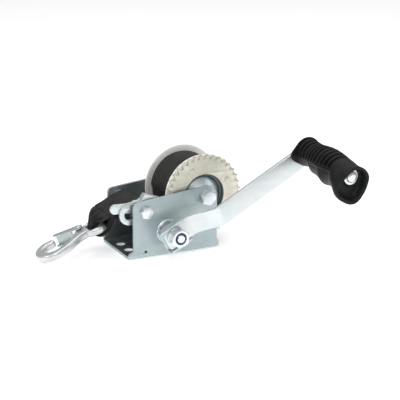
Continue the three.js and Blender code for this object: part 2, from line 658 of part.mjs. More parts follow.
// A torsion spring of two turns beside the pawl, with one leg lying in the open claw.
function pawlSpring() {
  const points = [];
  const turns = 1.75;
  const steps = 28;
  for (let i = 0; i <= steps; i += 1) {
    const angle = 0.6 + turns * 2 * Math.PI * i / steps;
    const y = -30.2 + 1.4 * i / steps;
    points.push(new THREE.Vector3(PAWL_X + 5.2 * Math.cos(angle), y, PAWL_Z + 5.2 * Math.sin(angle)));
  }
  const last = points[points.length - 1];
  points.push(new THREE.Vector3(last.x - 4, -29, last.z - 1.6));
  points.push(new THREE.Vector3(-44.6, -28.9, 43.2));
  const path = new THREE.CatmullRomCurve3(points);
  const section = new THREE.Shape();
  section.absarc(0, 0, 0.55, 0, 2 * Math.PI, false);
  const wire = new THREE.ExtrudeGeometry(section, { steps: 48, extrudePath: path, curveSegments: 3 });
  return toSolid(wire);
}

// ---------------------------------------------------------------- strap between the drum and the hook

// The strap's middle line from the roll's tangent, over the guide sleeve, to above the hook's eye.
function strapLine() {
  const rollRadius = ROLL_RADIUS + FIT + STRAP_THICKNESS / 2;
  const guideRadius = SLEEVE_RADIUS + FIT + STRAP_THICKNESS / 2;
  const dx = AXLE_X - PAWL_X;
  const dz = AXLE_Z - PAWL_Z;
  const between = Math.hypot(dx, dz);
  const direction = Math.atan2(dz, dx) - Math.asin((rollRadius + guideRadius) / between);
  const normal = direction + Math.PI / 2;
  const points = [[
    AXLE_X - rollRadius * Math.cos(normal),
    AXLE_Z - rollRadius * Math.sin(normal),
  ]];
  for (let i = 0; i <= 6; i += 1) {
    const angle = normal + (2.0 - normal) * i / 6;
    points.push([PAWL_X + guideRadius * Math.cos(angle), PAWL_Z + guideRadius * Math.sin(angle)]);
  }
  const curve = new THREE.CubicBezierCurve(
    new THREE.Vector2(...points[points.length - 1]),
    new THREE.Vector2(-46, 49.5),
    new THREE.Vector2(-60, 46),
    new THREE.Vector2(EYE_BAR_X - 4.5, EYE_BAR_Z + 10),
  );
  for (const p of curve.getPoints(8).slice(1)) {
    points.push([p.x, p.y]);
  }
  return points;
}

// The outline of a band of constant thickness along a line of points.
function bandOutline(line, thickness) {
  const sides = [[], []];
  line.forEach(([x, z], i) => {
    const [ax, az] = line[Math.max(0, i - 1)];
    const [bx, bz] = line[Math.min(line.length - 1, i + 1)];
    const length = Math.hypot(bx - ax, bz - az);
    const nx = -(bz - az) / length;
    const nz = (bx - ax) / length;
    sides[0].push([x + nx * thickness / 2, z + nz * thickness / 2]);
    sides[1].push([x - nx * thickness / 2, z - nz * thickness / 2]);
  });
  return polygon([...sides[0], ...sides[1].reverse()]);
}

// The strap narrows from its full width at the guide to the part that is threaded through the eye.
function strapPlan() {
  const half = STRAP_WIDTH / 2;
  const narrow = 6.4;
  return polygon([
    [40, STRAP_MIDDLE - half], [40, STRAP_MIDDLE + half], [-38, STRAP_MIDDLE + half],
    [-47, 12], [EYE_BAR_X + 11, narrow], [EYE_BAR_X - 20, narrow],
    [EYE_BAR_X - 20, -narrow], [EYE_BAR_X + 11, -narrow], [-47, -12], [-38, STRAP_MIDDLE - half],
  ]);
}

function strapLead() {
  const band = plateY(bandOutline(strapLine(), STRAP_THICKNESS), -30, 30);
  const loop = plateY(ring(EYE_BAR_X, EYE_BAR_Z, LOOP_INSIDE + STRAP_THICKNESS, LOOP_INSIDE), -30, 30, 12);
  const neck = plateY(polygon([
    [EYE_BAR_X - 5.5, EYE_BAR_Z + 9], [EYE_BAR_X - 5.8, EYE_BAR_Z + 3], [EYE_BAR_X - 2, EYE_BAR_Z + 5],
    [EYE_BAR_X + 2.4, EYE_BAR_Z + 4.4], [EYE_BAR_X + 1.5, EYE_BAR_Z + 12], [EYE_BAR_X - 2.5, EYE_BAR_Z + 13.5],
  ]), -30, 30);
  const side = cut(join(band, loop, neck), rod(EYE_BAR_X, EYE_BAR_Z, LOOP_INSIDE, -31, 31));
  return side.intersect(plateZ(strapPlan(), 0, 90));
}

// ---------------------------------------------------------------- hook, drawn flat and laid on its slope

const hook = new THREE.Group();
hook.position.set(HOOK_TIP_X, 0, HOOK_TIP_Z);
hook.rotation.y = -HOOK_SLOPE;
winch.add(hook);

// Seen square to its flat side, with the bow's end at zero and the eye towards +X.
function hookBody() {
  const bow = new THREE.Shape();
  bow.absarc(17.6, -0.6, 17.6, 1.15, 4.9, false);
  bow.quadraticCurveTo(34, -17, 44, -8.6);
  bow.quadraticCurveTo(50, -5.6, 56, -6.4);
  bow.lineTo(58, 6.4);
  bow.quadraticCurveTo(55, 6.6, 53, 9.4);
  bow.quadraticCurveTo(48, 11.6, 44.6, 6.4);
  bow.quadraticCurveTo(37, -3.8, 26, -9.4);
  bow.absarc(18.6, -0.2, 9.7, 5.3, 1.25, true);
  const eye = new THREE.Shape();
  eye.moveTo(53, -6.4);
  eye.quadraticCurveTo(56, -12.2, 62, -12.2);
  eye.absarc(EYE_BAR_S + EYE_BAR_HALF - 5, -7.2, 5, -Math.PI / 2, 0, false);
  eye.absarc(EYE_BAR_S + EYE_BAR_HALF - 5, 7.2, 5, 0, Math.PI / 2, false);
  eye.lineTo(62, 12.2);
  eye.quadraticCurveTo(56, 12.2, 53, 6.4);
  const hole = new THREE.Shape();
  hole.absarc(58.4, -5.6, 1.8, Math.PI, 1.5 * Math.PI, false);
  hole.lineTo(EYE_BAR_S - EYE_BAR_HALF, -7.4);
  hole.lineTo(EYE_BAR_S - EYE_BAR_HALF, 7.4);
  hole.absarc(58.4, 5.6, 1.8, Math.PI / 2, Math.PI, false);
  const half = HOOK_THICKNESS / 2;
  const rivetHole = plateZ(disc(...LATCH_PIVOT, 1.7), -20, 20, 8);
  const thinEye = plateZ(eye, -half + 1, half - 1, 8);
  return cut(
    join(plateZ(bow, -half, half, 14), thinEye),
    plateZ(hole, -20, 20, 6),
    rivetHole,
  );
}

// A folded sheet latch that straddles the hook: two cheeks joined along the outer edge.
function hookLatch() {
  const cheek = new THREE.Shape();
  const [px, py] = LATCH_PIVOT;
  cheek.absarc(px, py, 4.4, -1.9, 1.2, false);
  cheek.lineTo(28, 17.6);
  cheek.lineTo(25, 15.6);
  cheek.lineTo(36, 7.4);
  const plates = [
    plateZ(cheek, CHEEK_INSIDE, CHEEK_OUTSIDE, 8),
    plateZ(cheek, -CHEEK_OUTSIDE, -CHEEK_INSIDE, 8),
    plateZ(polygon([[29, 17.3], [28.7, 16.1], [44, 11.6], [44.5, 12.5]]), -CHEEK_OUTSIDE, CHEEK_OUTSIDE),
  ];
  return cut(join(...plates), plateZ(disc(px, py, 1.7), -20, 20, 8));
}

function latchRivet() {
  return join(
    plateZ(disc(...LATCH_PIVOT, 1.5), -CHEEK_OUTSIDE - 0.8, CHEEK_OUTSIDE + 0.8, 8),
    plateZ(disc(...LATCH_PIVOT, 2.8), CHEEK_OUTSIDE + 0.15, CHEEK_OUTSIDE + 1, 8),
    plateZ(disc(...LATCH_PIVOT, 2.8), -CHEEK_OUTSIDE - 1, -CHEEK_OUTSIDE - 0.15, 8),
  );
}

// The latch's torsion spring: a coil round the rivet with one leg along the hook.
function latchSpring() {
  const [px, py] = LATCH_PIVOT;
  const coil = new THREE.Shape();
  coil.absarc(px, py, 3.2, 0, 2 * Math.PI, false);
  coil.holes.push(disc(px, py, 2));
  const leg = polygon([[px + 1.6, py - 2.2], [px + 2.4, py - 1.2], [px + 8.4, py - 4.4], [px + 7.9, py - 5.3]]);
  const low = HOOK_THICKNESS / 2 + 0.1;
  return join(plateZ(coil, low, low + 1, 8), plateZ(leg, low, low + 1));
}

// ---------------------------------------------------------------- the whole winch

piece("frame", "zinc", frame());

piece("drum_core", "yellowZinc", drumCore());
piece("near_flange", "yellowZinc", nearFlange());
piece("far_flange", "yellowZinc", farFlange());
piece("drum_gear", "yellowZinc", drumGear());
rivetPlaces().forEach((place, i) => piece(`gear_rivet_${i + 1}`, "yellowZinc", gearRivet(place)));
piece("near_hub", "zinc", drumHub(-18, -30.4));
piece("far_hub", "zinc", drumHub(18, 30.4));
piece("strap_anchor_pin", "springSteel", anchorPin());
piece("strap_roll", "webbing", strapRoll());

piece("axle_bolt", "brightBolt", axleBolt());
piece("axle_sleeve", "springSteel", axleSleeve());
piece("axle_washer", "brightBolt", axleWasher());
piece("axle_nut", "brightBolt", axleNut());

piece("pinion_shaft", "brightBolt", pinionShaft());
piece("pinion", "springSteel", pinion());
piece("near_bush", "brightBolt", bush(-1, SHAFT_RADIUS + FIT));
piece("far_bush", "brightBolt", bush(1, SHAFT_TAIL_RADIUS + FIT));
piece("shaft_retaining_ring", "springSteel", retainingRing());

piece("hub_bracket", "zinc", hubBracket(), crank);
piece("crank_arm", "armZinc", crankArm(), crank);
piece("crank_washer", "brightBolt", crankWasher(), crank);
piece("crank_nut", "brightBolt", crankNut(), crank);
piece("nut_insert", "nylon", nutInsert(), crank);
piece("grip_spindle", "brightBolt", gripSpindle(), crank);
piece("grip_washer", "brightBolt", gripWasher(), crank);

const gripSeat = new THREE.Group();
gripSeat.position.set(CRANK_LENGTH, 0, 0);
gripSeat.rotation.y = CRANK_ANGLE;
crank.add(gripSeat);
piece("grip", "grip", grip(), gripSeat);

piece("pawl", "zinc", pawl());
piece("pawl_bolt", "brightBolt", pawlBolt());
piece("guide_sleeve", "zinc", guideSleeve());
piece("pawl_washer", "brightBolt", pawlWasher());
piece("pawl_nut", "brightBolt", pawlNut());
piece("pawl_spring", "springSteel", pawlSpring());

piece("strap_lead", "webbing", strapLead());
piece("hook_body", "hookSteel", hookBody(), hook);
piece("hook_latch", "zinc", hookLatch(), hook);
piece("latch_rivet", "brightBolt", latchRivet(), hook);
piece("latch_spring", "springSteel", latchSpring(), hook);

export default winch;
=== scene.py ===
"""Looks of the boat trailer winch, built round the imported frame. Lengths are in millimetres, but in metres
in a mesh, a camera or a light."""

import math
from contextlib import contextmanager
from math import cos, pi, radians, sin, sqrt

import bmesh
import bpy
from mathutils import Matrix, Vector
from mathutils.geometry import tessellate_polygon


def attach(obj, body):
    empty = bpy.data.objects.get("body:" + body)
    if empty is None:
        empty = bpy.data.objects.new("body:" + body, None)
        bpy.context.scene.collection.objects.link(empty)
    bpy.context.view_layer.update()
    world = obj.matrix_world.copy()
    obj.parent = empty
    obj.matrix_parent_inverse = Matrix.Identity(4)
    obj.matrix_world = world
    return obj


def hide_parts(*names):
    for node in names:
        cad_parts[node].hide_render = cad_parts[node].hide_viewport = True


MM = 0.001
TAU = 2 * pi

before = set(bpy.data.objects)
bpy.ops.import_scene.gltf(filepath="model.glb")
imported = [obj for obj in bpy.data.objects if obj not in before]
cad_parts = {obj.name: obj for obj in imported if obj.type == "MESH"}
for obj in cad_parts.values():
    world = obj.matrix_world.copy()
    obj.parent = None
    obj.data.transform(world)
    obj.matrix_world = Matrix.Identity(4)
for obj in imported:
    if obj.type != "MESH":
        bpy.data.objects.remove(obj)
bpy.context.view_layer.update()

# ---------------- places, as in the CAD

SHEET = 3.0
OUTER_WALL = 34.0
INNER_WALL = OUTER_WALL - SHEET
MODULE = 2.15
GEAR_TEETH = 36
PINION_TEETH = 12
CENTRES = MODULE * (GEAR_TEETH + PINION_TEETH) / 2
MESH_ANGLE = radians(214)
AXLE = (34.8, 54.0)
SHAFT = (AXLE[0] + CENTRES * cos(MESH_ANGLE), AXLE[1] + CENTRES * sin(MESH_ANGLE))
PAWL = (-30.3, 46.3)
GUIDE_RADIUS = 7.5
CRANK_ANGLE = 28.3
CRANK_LENGTH = 143.3
HOOK_SLOPE = 21.0
HOOK_TIP = (-129.6, 4.2)
EYE_REACH = 69.4
EYE_BAR = (HOOK_TIP[0] + EYE_REACH * cos(radians(HOOK_SLOPE)),
           HOOK_TIP[1] + EYE_REACH * sin(radians(HOOK_SLOPE)))

# ---------------- strap sizes

FIRST_LAYER = 21.9              # radius of the innermost layer's middle
ROLL_RADIUS = 35.0
LAYER_PITCH = 1.75
HALF_LAYER = 0.9
STRAP_WIDTH = 43.4
LEAD_WIDTH = 42.8
STRAP_SHIFT = 0.6               # the strap lies this far off the drum's middle, along Y

CRANK = Matrix.Translation((SHAFT[0], 0, SHAFT[1])) @ Matrix.Rotation(radians(-CRANK_ANGLE), 4, "Y")
GRIP = CRANK @ Matrix.Translation((CRANK_LENGTH, 0, 0)) @ Matrix.Rotation(radians(CRANK_ANGLE), 4, "Y")
HOOK = Matrix.Translation((HOOK_TIP[0], 0, HOOK_TIP[1])) @ Matrix.Rotation(radians(-HOOK_SLOPE), 4, "Y")


# ---------------- shapes

def arc(x, y, radius, start, end, steps):
    """Points of a circular arc, angles in degrees."""
    out = []
    for i in range(steps + 1):
        a = radians(start + (end - start) * i / steps)
        out.append((x + radius * cos(a), y + radius * sin(a)))
    return out


def circle(x, y, radius, steps=64):
    return arc(x, y, radius, 0, 360, steps)[:-1]


def soften(points, radius, steps=4, closed=True):
    """The outline with each corner replaced by a short curve. radius is one number or one for each corner."""
    out = []
    n = len(points)
    for i, p in enumerate(points):
        r = radius[i] if isinstance(radius, (list, tuple)) else radius
        if r <= 0 or (not closed and i in (0, n - 1)):
            out.append(p)
            continue
        here = Vector(p)
        before = Vector(points[i - 1]) - here
        after = Vector(points[(i + 1) % n]) - here
        reach = min(r, before.length * 0.48, after.length * 0.48)
        a = here + before.normalized() * reach
        b = here + after.normalized() * reach
        for k in range(steps + 1):
            t = k / steps
            q = a * (1 - t) ** 2 + here * 2 * t * (1 - t) + b * t ** 2
            out.append((q.x, q.y))
    return out


def curve_point(p0, p1, p2, p3, t):
    """The point at t between p1 and p2 on the smooth curve through all four."""
    return 0.5 * (2 * p1 + (p2 - p0) * t + (2 * p0 - 5 * p1 + 4 * p2 - p3) * t ** 2
                  + (3 * p1 - p0 - 3 * p2 + p3) * t ** 3)


def smooth(points, steps, closed=False):
    """A smooth curve through the points."""
    n = len(points)
    out = []
    for i in range(n if closed else n - 1):
        places = [(i + k) % n if closed else min(max(i + k, 0), n - 1) for k in (-1, 0, 1, 2)]
        near = [Vector(points[place]) for place in places]
        out += [tuple(curve_point(*near, k / steps)) for k in range(steps)]
    return out if closed else out + [tuple(points[-1])]


def heading(line, i):
    """Direction of a line of vectors at its point i."""
    return (line[min(i + 1, len(line) - 1)] - line[max(i - 1, 0)]).normalized()


def signed_area(loop):
    return sum(a[0] * b[1] - b[0] * a[1] for a, b in zip(loop, loop[1:] + loop[:1])) / 2


def inset(loop, distance):
    """The loop moved to its left, which is into the material."""
    out = []
    n = len(loop)
    for i in range(n):
        here = Vector(loop[i])
        u = (here - Vector(loop[i - 1])).normalized()
        v = (Vector(loop[(i + 1) % n]) - here).normalized()
        n1 = Vector((-u.y, u.x))
        n2 = Vector((-v.y, v.x))
        mitre = (n1 + n2) / max(0.35, 1 + n1.dot(n2))
        out.append(tuple(here + mitre * distance))
    return out


def add_object(name, data):
    obj = bpy.data.objects.new(name, data)
    bpy.context.scene.collection.objects.link(obj)
    return obj


def remove_objects(objects):
    for obj in objects:
        bpy.data.objects.remove(obj, do_unlink=True)


def new_mesh(name, verts, faces):
    """A mesh from points in millimetres."""
    mesh = bpy.data.meshes.new(name)
    mesh.from_pydata([tuple(c * MM for c in v) for v in verts], [], faces)
    return mesh


@contextmanager
def edited(mesh):
    """The mesh as a bmesh, which is written back afterwards."""
    bm = bmesh.new()
    bm.from_mesh(mesh)
    yield bm
    bm.to_mesh(mesh)
    bm.free()


def smooth_faces(mesh, sharp):
    """Smooth shading, except along edges sharper than the given angle."""
    mesh.polygons.foreach_set("use_smooth", [True] * len(mesh.polygons))
    mesh.set_sharp_from_angle(angle=radians(sharp))


def shade(obj, sharp=32):
    """Doubled points merged, all faces turned outward, and smooth shading."""
    with edited(obj.data) as bm:
        bmesh.ops.remove_doubles(bm, verts=bm.verts, dist=1e-7)
        bmesh.ops.recalc_face_normals(bm, faces=bm.faces)
    smooth_faces(obj.data, sharp)
    obj.data.update()


def make_object(name, verts, faces, sharp=32):
    """A clean, smoothly shaded object from points in millimetres."""
    mesh = new_mesh(name, verts, faces)
    mesh.validate()
    obj = add_object(name, mesh)
    shade(obj, sharp)
    return obj


def ring_faces(rings, around, closed=False, start=0):
    """Faces between rings of points in a row. In a closed body the last ring joins the first."""
    faces = []
    for k in range(rings if closed else rings - 1):
        here = start + k * around
        there = start + (k + 1) % rings * around
        for i in range(around):
            j = (i + 1) % around
            faces.append((here + i, here + j, there + j, there + i))
    return faces


def prism(outer, holes, low, high, edge, rings=2):
    """Points and faces of a plate with rounded edges, drawn in its first two axes."""
    loops = [outer if signed_area(outer) > 0 else outer[::-1]]
    loops += [h if signed_area(h) < 0 else h[::-1] for h in holes]
    levels = []
    for k in range(rings, -1, -1):
        a = pi / 2 * k / rings
        levels.append((low + edge * (1 - sin(a)), edge * (1 - cos(a))))
    levels += [(low + high - z, d) for z, d in levels[::-1]]
    verts, faces, caps = [], [], ([], [])
    for loop in loops:
        n = len(loop)
        start = len(verts)
        for z, d in levels:
            moved = inset(loop, d) if d > 1e-9 else loop
            verts += [(p[0], p[1], z) for p in moved]
        faces += ring_faces(len(levels), n, start=start)
        caps[0].append(list(range(start, start + n)))
        caps[1].append(list(range(len(verts) - n, len(verts))))
    for cap, turn in zip(caps, (True, False)):
        flat = [i for ring in cap for i in ring]
        shape = [[Vector((verts[i][0], verts[i][1], 0)) for i in ring] for ring in cap]
        for tri in tessellate_polygon(shape):
            face = tuple(flat[i] for i in tri)
            faces.append(face[::-1] if turn else face)
    return verts, faces


def plate_y(name, outer, low, high, holes=(), edge=0.35, rings=2, place=None, sharp=32):
    """A plate drawn in X and Z, between two values of Y."""
    verts, faces = prism(outer, holes, low, high, edge, rings)
    verts = [(x, z, y) for x, y, z in verts]
    return placed(make_object(name, verts, faces, sharp), place)


def plate_z(name, outer, low, high, holes=(), edge=0.35, rings=2, place=None, sharp=32):
    """A plate drawn in X and Y, between two values of Z."""
    verts, faces = prism(outer, holes, low, high, edge, rings)
    return placed(make_object(name, verts, faces, sharp), place)


def placed(obj, place):
    """obj moved by a matrix whose lengths are in millimetres."""
    if place is not None:
        obj.data.transform(Matrix.Scale(MM, 4) @ place @ Matrix.Scale(1 / MM, 4))
        obj.data.update()
    return obj


def turned(name, profile, x=0.0, z=0.0, place=None, steps=72, round_by=0.3):
    """A body of revolution about an axis along Y, from (radius, y). A profile on the axis stays open."""
    closed = profile[0][0] > 0
    shape = soften(profile, round_by, 3, closed)
    verts = [(px, y, pz) for r, y in shape for px, pz in circle(x, z, r, steps)]
    return placed(make_object(name, verts, ring_faces(len(shape), steps, closed)), place)


def washer(name, bore, radius, low, high, *axis, **options):
    """A ring or a disc between two values of Y."""
    return turned(name, [(bore, low), (radius, low), (radius, high), (bore, high)], *axis, **options)


def thread(radius, depth, start, stop, pitch, flank):
    """Profile points of a thread's crests and roots."""
    points = []
    y = start
    while y < stop:
        points += [(radius, y), (radius - depth, y + flank), (radius, y + 2 * flank)]
        y += pitch
    return points


def hex_piece(name, x, z, flats, seat, face, turn, bore=0.0, place=None, recess=0.0):
    """A hexagon head or nut whose corners are turned off in a cone. It stands on seat and ends at face."""
    out = 1 if face > seat else -1
    height = abs(face - seat)
    rim = flats / 2 * 0.96
    inner = max(bore, 0.01)
    steps = 96

    def ring(level, radius=0.0, cone=0.0):
        """A ring at a level over the seat. Without a radius it follows the hexagon's sides."""
        points = []
        for i in range(steps):
            a = TAU * i / steps
            off = (a + pi / 6) % (pi / 3) - pi / 6
            r = radius or flats / 2 / cos(off)
            y = seat + out * (level - cone * max(0.0, r - rim))
            points.append((x + r * cos(a + turn), y, z + r * sin(a + turn)))
        return points

    rings = [ring(height - recess, inner)]
    if recess:
        rings += [ring(height - recess, bore + 1.4), ring(height - 0.5, bore + 1.4), ring(height, bore + 1.8)]
    elif not bore:
        rings.append(ring(height - 0.02, rim * 0.72))
    rings += [ring(height, rim - 0.25), ring(height - 0.1, rim), ring(height - 0.1, cone=0.62), ring(0.25),
              ring(0.0, rim), ring(0.0, inner)]
    verts = [point for points in rings for point in points]
    return placed(make_object(name, verts, ring_faces(len(rings), steps, bool(bore)), 20), place)


def joined(name, parts, sharp=32):
    """One object made of several."""
    bm = bmesh.new()
    for part in parts:
        bm.from_mesh(part.data)
    mesh = bpy.data.meshes.new(name)
    bm.to_mesh(mesh)
    bm.free()
    remove_objects(parts)
    smooth_faces(mesh, sharp)
    return add_object(name, mesh)


def add_boolean(obj, operation, other):
    modifier = obj.modifiers.new("boolean", "BOOLEAN")
    modifier.operation = operation
    modifier.solver = "EXACT"
    modifier.object = other


def united(name, parts):
    """Several overlapping pieces fused into one body."""
    for other in parts[1:]:
        add_boolean(parts[0], "UNION", other)
    return applied(name, parts[0], parts[1:])


def drilled(obj, tool):
    """obj with the tool's volume taken away."""
    add_boolean(obj, "DIFFERENCE", tool)
    return applied(obj.name, obj, [tool])


def applied(name, base, used):
    """A new object from base with its modifiers applied. base and the used pieces are removed."""
    bpy.context.view_layer.update()
    mesh = bpy.data.meshes.new_from_object(base.evaluated_get(bpy.context.evaluated_depsgraph_get()))
    remove_objects([*used, base])
    obj = add_object(name, mesh)
    shade(obj)
    return obj


# ---------------- materials

def new_material(name):
    """A material, its shader and the object's own coordinates."""
    mat = bpy.data.materials.new(name)
    mat.use_nodes = True
    nodes = mat.node_tree.nodes
    return mat, nodes["Principled BSDF"], nodes.new("ShaderNodeTexCoord").outputs["Object"]


def fill(node, values):
    """Gives a node's sockets their numbers, vectors or colours, or links them to other nodes' outputs."""
    for key, value in values.items():
        socket = node.inputs[key]
        if isinstance(value, bpy.types.NodeSocket):
            socket.id_data.links.new(value, socket)
        elif socket.type == "RGBA":
            socket.default_value = (*value, 1.0)
        else:
            socket.default_value = value


def new_node(kind, values, **settings):
    """A node in the tree of the outputs that it is linked to."""
    tree = next(value.id_data for value in values.values() if isinstance(value, bpy.types.NodeSocket))
    node = tree.nodes.new(kind)
    for key, value in settings.items():
        setattr(node, key, value)
    fill(node, values)
    return node


def noise(coords, scale, detail=4.0, rough=0.55, stretch=None):
    """A noise texture over the coordinates. scale is per metre."""
    if stretch is not None:
        coords = new_node("ShaderNodeMapping", {"Vector": coords, "Scale": stretch}).outputs["Vector"]
    values = {"Vector": coords, "Scale": scale, "Detail": detail, "Roughness": rough}
    return new_node("ShaderNodeTexNoise", values).outputs["Fac"]


def ramp(fac, stops):
    """A colour ramp. stops are (place, colour)."""
    node = new_node("ShaderNodeValToRGB", {"Fac": fac})
    elements = node.color_ramp.elements
    while len(elements) < len(stops):
        elements.new(0.5)
    for element, (place, colour) in zip(elements, stops):
        element.position = place
        element.color = (*colour, 1.0)
    return node.outputs["Color"]


def mapped(value, low, high, to_low, to_high):
    values = {"Value": value, "From Min": low, "From Max": high, "To Min": to_low, "To Max": to_high}
    return new_node("ShaderNodeMapRange", values).outputs["Result"]


def maths(operation, *values):
    return new_node("ShaderNodeMath", dict(enumerate(values)), operation=operation).outputs["Value"]


def mixed(fac, a, b):
    """Two colours mixed. The mix node's colour sockets are its inputs 6 and 7 and its output 2."""
    return new_node("ShaderNodeMix", {"Factor": fac, 6: a, 7: b}, data_type="RGBA").outputs[2]


def bump(shader, height, strength, distance):
    """A bump on the shader. distance is in millimetres."""
    values = {"Height": height, "Strength": strength, "Distance": distance * MM}
    fill(shader, {"Normal": new_node("ShaderNodeBump", values).outputs["Normal"]})


def plated(name, dark, light, rough, grain=1.0, metallic=0.92, clouds=55.0):
    """Zinc plate: cloudy passivation, fine crystal grain and faint rolling marks."""
    mat, shader, coords = new_material(name)
    cloud = noise(coords, clouds, 5.0, 0.6)
    fine = noise(coords, 900.0, 3.0, 0.6)
    marks = noise(coords, 260.0, 3.0, 0.5, (0.12, 1.0, 1.0))
    middle = tuple((a + b) / 2 for a, b in zip(dark, light))
    crystal = tuple(min(1.0, c * 1.18) for c in light)
    base = ramp(cloud, ((0.3, dark), (0.55, middle), (0.75, light)))
    dull = mapped(cloud, 0.3, 0.7, -0.05, 0.06)
    drawn = mapped(marks, 0.3, 0.7, -0.05, 0.07)
    fill(shader, {"Base Color": mixed(mapped(fine, 0.35, 0.7, 0.0, 0.22), base, crystal),
                  "Roughness": maths("ADD", maths("ADD", dull, drawn), rough), "Metallic": metallic})
    height = maths("ADD", maths("MULTIPLY", fine, 0.5), maths("MULTIPLY", marks, 0.8))
    bump(shader, height, 0.22 * grain, 0.12)
    return mat


def gear_plate(name):
    """Pale yellow chromate on stamped steel, blotchy, with fine scuffs."""
    mat, shader, coords = new_material(name)
    cloud = noise(coords, 70.0, 6.0, 0.62)
    blotch = noise(coords, 28.0, 3.0, 0.5)
    fine = noise(coords, 1100.0, 2.0, 0.6)
    scuff = noise(coords, 420.0, 4.0, 0.55, (1.0, 1.0, 0.1))
    base = ramp(cloud, ((0.3, (0.58, 0.56, 0.46)), (0.5, (0.68, 0.67, 0.57)), (0.72, (0.78, 0.78, 0.70))))
    tint = mixed(mapped(blotch, 0.42, 0.7, 0.0, 0.55), base, (0.70, 0.64, 0.55))
    # painted glints: bright flecks mixed into the colour
    glint = mapped(fine, 0.55, 0.75, 0.0, 0.35)
    fill(shader, {"Base Color": mixed(glint, tint, (0.95, 0.93, 0.86)),
                  "Roughness": mapped(scuff, 0.3, 0.7, 0.33, 0.52), "Metallic": 0.8})
    bump(shader, maths("ADD", scuff, maths("MULTIPLY", fine, 0.6)), 0.28, 0.12)
    return mat


def hook_plate(name):
    """Bright plating on a forging, with a soft orange-peel surface."""
    mat, shader, coords = new_material(name)
    peel = noise(coords, 320.0, 2.0, 0.45)
    cloud = noise(coords, 90.0, 4.0, 0.55)
    fill(shader, {"Base Color": ramp(cloud, ((0.3, (0.58, 0.60, 0.60)), (0.7, (0.74, 0.75, 0.75)))),
                  "Roughness": mapped(cloud, 0.3, 0.7, 0.30, 0.42), "Metallic": 0.85})
    bump(shader, peel, 0.3, 0.25)
    return mat


def dark_steel(name, low=(0.13, 0.135, 0.14), high=(0.30, 0.31, 0.32)):
    """Oiled steel under zinc, for springs and hidden pieces."""
    mat, shader, coords = new_material(name)
    cloud = noise(coords, 180.0, 5.0, 0.6)
    fill(shader, {"Base Color": ramp(cloud, ((0.3, low), (0.7, high))),
                  "Roughness": mapped(cloud, 0.3, 0.7, 0.28, 0.5), "Metallic": 0.9})
    bump(shader, noise(coords, 700.0, 3.0), 0.25, 0.1)
    return mat


def grip_plastic(name):
    """Black moulded plastic with a fine spark-eroded grain and slightly polished high spots."""
    mat, shader, coords = new_material(name)
    grain = noise(coords, 1500.0, 3.0, 0.65)
    cloud = noise(coords, 60.0, 3.0, 0.5)
    fill(shader, {"Base Color": ramp(cloud, ((0.3, (0.004, 0.004, 0.0045)), (0.7, (0.009, 0.009, 0.0095)))),
                  "Roughness": mapped(cloud, 0.3, 0.7, 0.40, 0.54), "Specular IOR Level": 0.24})
    bump(shader, grain, 0.35, 0.12)
    return mat


def nylon(name):
    """Blue nylon of the lock nut's insert, slightly cloudy."""
    mat, shader, coords = new_material(name)
    cloud = noise(coords, 400.0, 3.0, 0.5)
    fill(shader, {"Base Color": ramp(cloud, ((0.3, (0.008, 0.018, 0.075)), (0.7, (0.02, 0.04, 0.14)))),
                  "Roughness": mapped(cloud, 0.3, 0.7, 0.42, 0.6)})
    bump(shader, cloud, 0.2, 0.1)
    return mat


def weave(along, across):
    """Height of a woven band from places in metres: beads along the warp, offset from thread to thread."""
    warp_pitch, weft_pitch = 0.0013, 0.0017
    warp = maths("SINE", maths("MULTIPLY", across, TAU / warp_pitch))
    shift = maths("MULTIPLY", maths("SIGN", warp), pi / 2)
    weft = maths("SINE", maths("ADD", maths("MULTIPLY", along, TAU / weft_pitch), shift))
    return maths("MULTIPLY", maths("ABSOLUTE", warp), mapped(weft, -1.0, 1.0, 0.25, 1.0))


def webbing(name):
    """Woven polyester. Its weave follows the strap's length and width, which the UV map gives in metres."""
    mat, shader, coords = new_material(name)
    strap_map = mat.node_tree.nodes.new("ShaderNodeUVMap")
    strap_map.uv_map = "strap"
    uv = strap_map.outputs["UV"]
    parts = new_node("ShaderNodeSeparateXYZ", {"Vector": uv}).outputs
    bead = weave(parts["X"], parts["Y"])
    stripe_width = 0.011
    stripes = maths("SINE", maths("MULTIPLY", parts["Y"], pi / stripe_width))
    seams = mapped(maths("ABSOLUTE", stripes), 0.0, 0.16, 0.5, 0.0)
    fuzz = noise(coords, 1600.0, 3.0, 0.6)
    # The paler streaks along the strap are partly worn threads, partly a painted sheen.
    wear_and_sheen_patches = noise(coords, 45.0, 4.0, 0.6)
    streak = noise(uv, 1.0, 4.0, 0.6, (60.0, 1400.0, 1.0))
    sheen_and_wear = maths("MULTIPLY", mapped(wear_and_sheen_patches, 0.4, 0.7, 0.25, 1.0), mapped(streak, 0.5, 0.74, 0.0, 1.0))
    # The weave's hollows are painted darker than its beads: painted shade.
    base = ramp(bead, ((0.1, (0.0015, 0.0015, 0.0015)), (0.5, (0.006, 0.0055, 0.0055)),
                             (0.95, (0.015, 0.0135, 0.0135))))
    striped = mixed(seams, mixed(sheen_and_wear, base, (0.14, 0.132, 0.128)), (0.004, 0.004, 0.004))
    fill(shader, {"Base Color": mixed(mapped(fuzz, 0.6, 0.8, 0.0, 0.3), striped, (0.04, 0.037, 0.036)),
                  "Roughness": mapped(bead, 0.0, 1.0, 0.7, 0.42), "Specular IOR Level": 0.3,
                  "Sheen Weight": 0.04, "Sheen Roughness": 0.4})
    bump(shader, maths("ADD", bead, maths("MULTIPLY", fuzz, 0.25)), 0.8, 0.35)
    return mat


def floor_paint(name):
    """Matt white paper that glows a little, so that the floor goes white."""
    mat, shader, coords = new_material(name)
    cloud = noise(coords, 3.0, 2.0, 0.5)
    fill(shader, {"Base Color": ramp(cloud, ((0.3, (0.93, 0.93, 0.93)), (0.7, (0.95, 0.95, 0.95)))),
                  "Roughness": 0.95, "Specular IOR Level": 0.1, "Emission Color": (1.0, 1.0, 1.0),
                  "Emission Strength": 0.42})
    return mat


